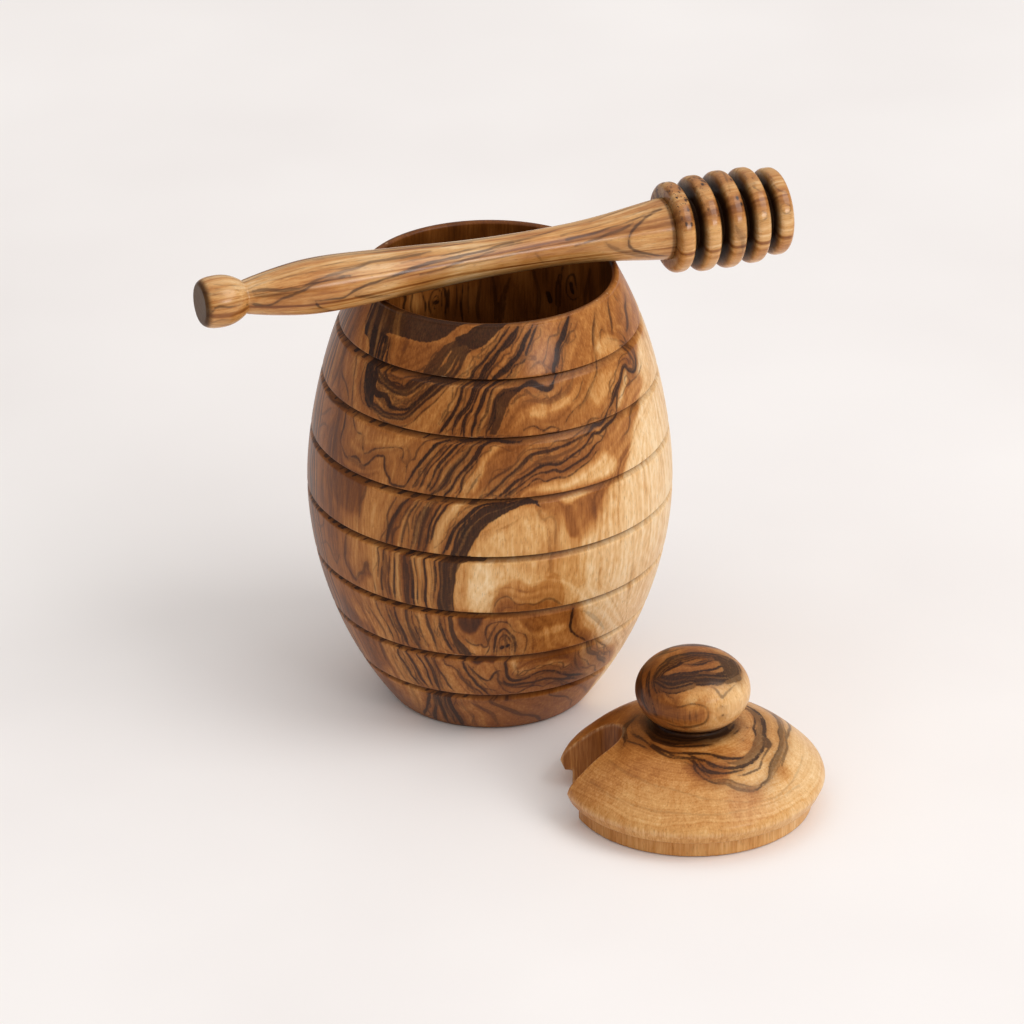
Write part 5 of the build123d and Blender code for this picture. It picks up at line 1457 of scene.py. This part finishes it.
def wood(name, turn=0.0, drawn_out=(1, 1, .045), drawn_short=(1, 1, .14), gloss=.20, edge_wear_and_glint=.3):
    """Olive wood: its fibres run along the axis that the two stretches leave long, after a turn about Z."""
    material = bpy.data.materials.new(name)
    n = Nodes(material)
    place = n.add("TexCoord").outputs["Object"]
    along = n.add("Mapping", {"Vector": place, "Rotation": (0, 0, turn)}).outputs[0]
    drawn = n.add("Mapping", {"Vector": along, "Scale": drawn_out}).outputs[0]
    short = n.add("Mapping", {"Vector": along, "Scale": drawn_short}).outputs[0]
    fibres = n.noise(drawn, 2400.0, 3.0, .6)
    broad = n.noise(drawn, 520.0, 2.0)
    pores = n.noise(short, 3800.0, 1.0)
    mottle = n.noise(place, 55.0, 3.0)
    ragged = n.noise(short, 1500.0, 2.0)
    rings = n.add("TexNoise", {"W": n.field("across"), "Scale": 2.2, "Detail": 3.0},
                  noise_dimensions="1D").outputs[0]
    tone, streak, hollow, bevel = (n.field(key) for key in ("tone", "streak", "hollow", "bevel"))
    value = n.math("MULTIPLY_ADD", streak, .045, tone)
    for grain, share in (fibres, .045), (broad, .035), (rings, .035), (mottle, .05), (ragged, .04):
        value = n.math("ADD", value, n.spread(grain, .3, .7, -share, share))
    fine = n.math("MULTIPLY", n.spread(streak, -.9, -2.4, smooth=True), n.spread(tone, 1.0, .6, .12, .55))
    colour = n.mix(fine, n.ramp(value, WOOD_TONES), FINE_BROWN)
    colour = n.mix(n.math("MULTIPLY", n.field("halo"), .62), colour, HALO_BROWN)
    # Painted shade: brown laid over the grooves' bevels.
    colour = n.mix(n.math("MULTIPLY", bevel, .72), colour, BEVEL_SHADE_BROWN)
    level = n.math("ADD", n.field("ink_edge"), n.spread(ragged, .3, .7, -.06, .06))
    level = n.math("MULTIPLY_ADD", streak, -.02, level)
    ink = n.math("MULTIPLY", n.spread(level, .41, .60, smooth=True), n.field("ink_dark"))
    ink = n.math("MULTIPLY", ink, n.spread(streak, .5, 2.2, 1.0, .6))
    colour = n.mix(ink, colour, n.mix(n.spread(fibres, .35, .65), INK_DARK, INK_LIGHT))
    flecks = n.math("MULTIPLY", n.spread(pores, .60, .72), .26)
    colour = n.mix(flecks, colour, FLECK_BROWN)
    pits = n.math("MULTIPLY", n.spread(n.noise(place, 1700.0, 1.0), .64, .69, smooth=True), n.field("pitted"))
    colour = n.mix(pits, colour, PIT_BROWN)
    # Cream on sharp edges and the stored wear: partly edge wear, partly a painted highlight along crisp
    # edges.
    wear_and_glint = n.spread(n.add("NewGeometry").outputs["Pointiness"], .56, .66, 0, edge_wear_and_glint)
    wear_and_glint = n.math("MAXIMUM", wear_and_glint, n.math("MULTIPLY", n.field("wear"), n.spread(ragged, .35, .6, .02, .22)))
    colour = n.mix(wear_and_glint, colour, WEAR_AND_GLINT_CREAM)
    # Painted shade: near-black brown in groove roots, the bore, under the lid's knob, between the dipper's
    # discs and on its end face.
    colour = n.mix(n.math("MULTIPLY", hollow, .96), colour, SHADE_BROWN)
    rough = n.math("ADD", n.spread(mottle, .3, .7, .36, .46), n.spread(fibres, .3, .7, -.03, .05))
    height = n.math("ADD", n.math("MULTIPLY", fibres, .6), n.math("MULTIPLY", flecks, -.8))
    height = n.math("MULTIPLY_ADD", ink, -.25, height)
    height = n.math("MULTIPLY_ADD", pits, -2.0, height)
    bump = n.add("Bump", {"Strength": .35, "Distance": .00012, "Height": height}).outputs[0]
    # The coat is thinned where shade is painted, on the bevels and in the darkest places.
    coat = n.math("MULTIPLY_ADD", n.math("MAXIMUM", hollow, bevel), -gloss, gloss, clamp=True)
    shader = n.add("BsdfPrincipled", {"Base Color": colour, "Roughness": rough, "Normal": bump,
                                      "Coat Weight": coat,
                                      "Specular IOR Level": .12, "Coat Roughness": .21})
    n.add("OutputMaterial", {0: shader.outputs[0]})
    return material


def put_camera():
    """A camera where the photograph was taken from."""
    scene = bpy.context.scene
    camera = bpy.data.cameras.new("camera")
    camera.lens = CAMERA_LENS
    camera.sensor_width = CAMERA_SENSOR
    camera.clip_start, camera.clip_end = 0.05, 50
    eye = bpy.data.objects.new("camera", camera)
    eye.location = CAMERA_AT
    eye.rotation_euler = (math.radians(CAMERA_TILT), 0, 0)
    scene.collection.objects.link(eye)
    scene.camera = eye


def paint_floor():
    """A plain pale matt surface."""
    material = bpy.data.materials.new("floor_paint")
    n = Nodes(material)
    place = n.add("TexCoord").outputs["Object"]
    colour = n.mix(n.spread(n.noise(place, 6.0, 3.0), .3, .7), rgb(238, 233, 231), rgb(246, 242, 240))
    bump = n.add("Bump", {"Strength": .05, "Distance": .0002,
                          "Height": n.noise(place, 900.0, 2.0)}).outputs[0]
    shader = n.add("BsdfPrincipled", {"Base Color": colour, "Roughness": .8, "Normal": bump})
    n.add("OutputMaterial", {0: shader.outputs[0]})
    return material


def light_sky():
    """A dim sky, brighter towards its top, that the camera sees as one pale grey."""
    world = bpy.data.worlds.new("studio")
    bpy.context.scene.world = world
    n = Nodes(world)
    up = n.add("SeparateXYZ", {0: n.add("TexCoord").outputs["Generated"]}).outputs["Z"]
    light = n.add("Background", {0: SKY_WHITE, 1: n.spread(up, 0.0, 0.9, SKY_LOW, SKY_HIGH)})
    seen = n.add("Background", {0: rgb(243, 239, 238), 1: 1.0})
    camera_sees = n.add("LightPath").outputs["Is Camera Ray"]
    mix = n.add("MixShader", {0: camera_sees, 1: light.outputs[0], 2: seen.outputs[0]})
    n.add("OutputWorld", {0: mix.outputs[0]})


def lamp(name, azimuth, elevation, distance, size, power):
    """A soft lamp that shines on the pot's foot."""
    light = bpy.data.lights.new(name, "AREA")
    light.shape = "ELLIPSE"
    light.size, light.size_y = size
    light.energy = power
    obj = bpy.data.objects.new(name, light)
    a, e = math.radians(azimuth), math.radians(elevation)
    obj.location = (distance * math.cos(e) * math.cos(a), distance * math.cos(e) * math.sin(a),
                    distance * math.sin(e))
    bpy.context.scene.collection.objects.link(obj)
    obj.rotation_euler = (LAMPS_AIM - obj.location).to_track_quat("-Z", "Y").to_euler()


def studio():
    """The camera, the floor and the light."""
    scene = bpy.context.scene
    scene.view_settings.view_transform = "Standard"
    put_camera()
    half = FLOOR_SIZE / 2
    mesh = bpy.data.meshes.new("floor")
    mesh.from_pydata([(-half, -half, 0), (half, -half, 0), (half, half, 0), (-half, half, 0)], [],
                     [(0, 1, 2, 3)])
    floor = bpy.data.objects.new("floor", mesh)
    floor.location.z = -FLOOR_GAP
    scene.collection.objects.link(floor)
    mesh.materials.append(paint_floor())
    light_sky()
    lamp("window", -22, 46, 3.0, (1.9, 1.9), 29.0)
    lamp("front", -48, 22, 2.0, (.85, .2), 7.0)


def main():
    pot = dress_pot()
    pot.data.materials.append(wood("olive_pot"))
    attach(pot, "pot")
    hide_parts("pot_body")
    lid = dress_lid()
    lid.data.materials.append(wood("olive_lid", edge_wear_and_glint=0))
    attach(lid, "lid")
    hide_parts("lid")
    dipper = dress_dipper()
    dipper.data.materials.append(
        wood("olive_dipper", math.radians(-DIPPER_AZIMUTH), (.045, 1, 1), (.14, 1, 1), .6))
    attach(dipper, "dipper")
    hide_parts("dipper")
    studio()


main()
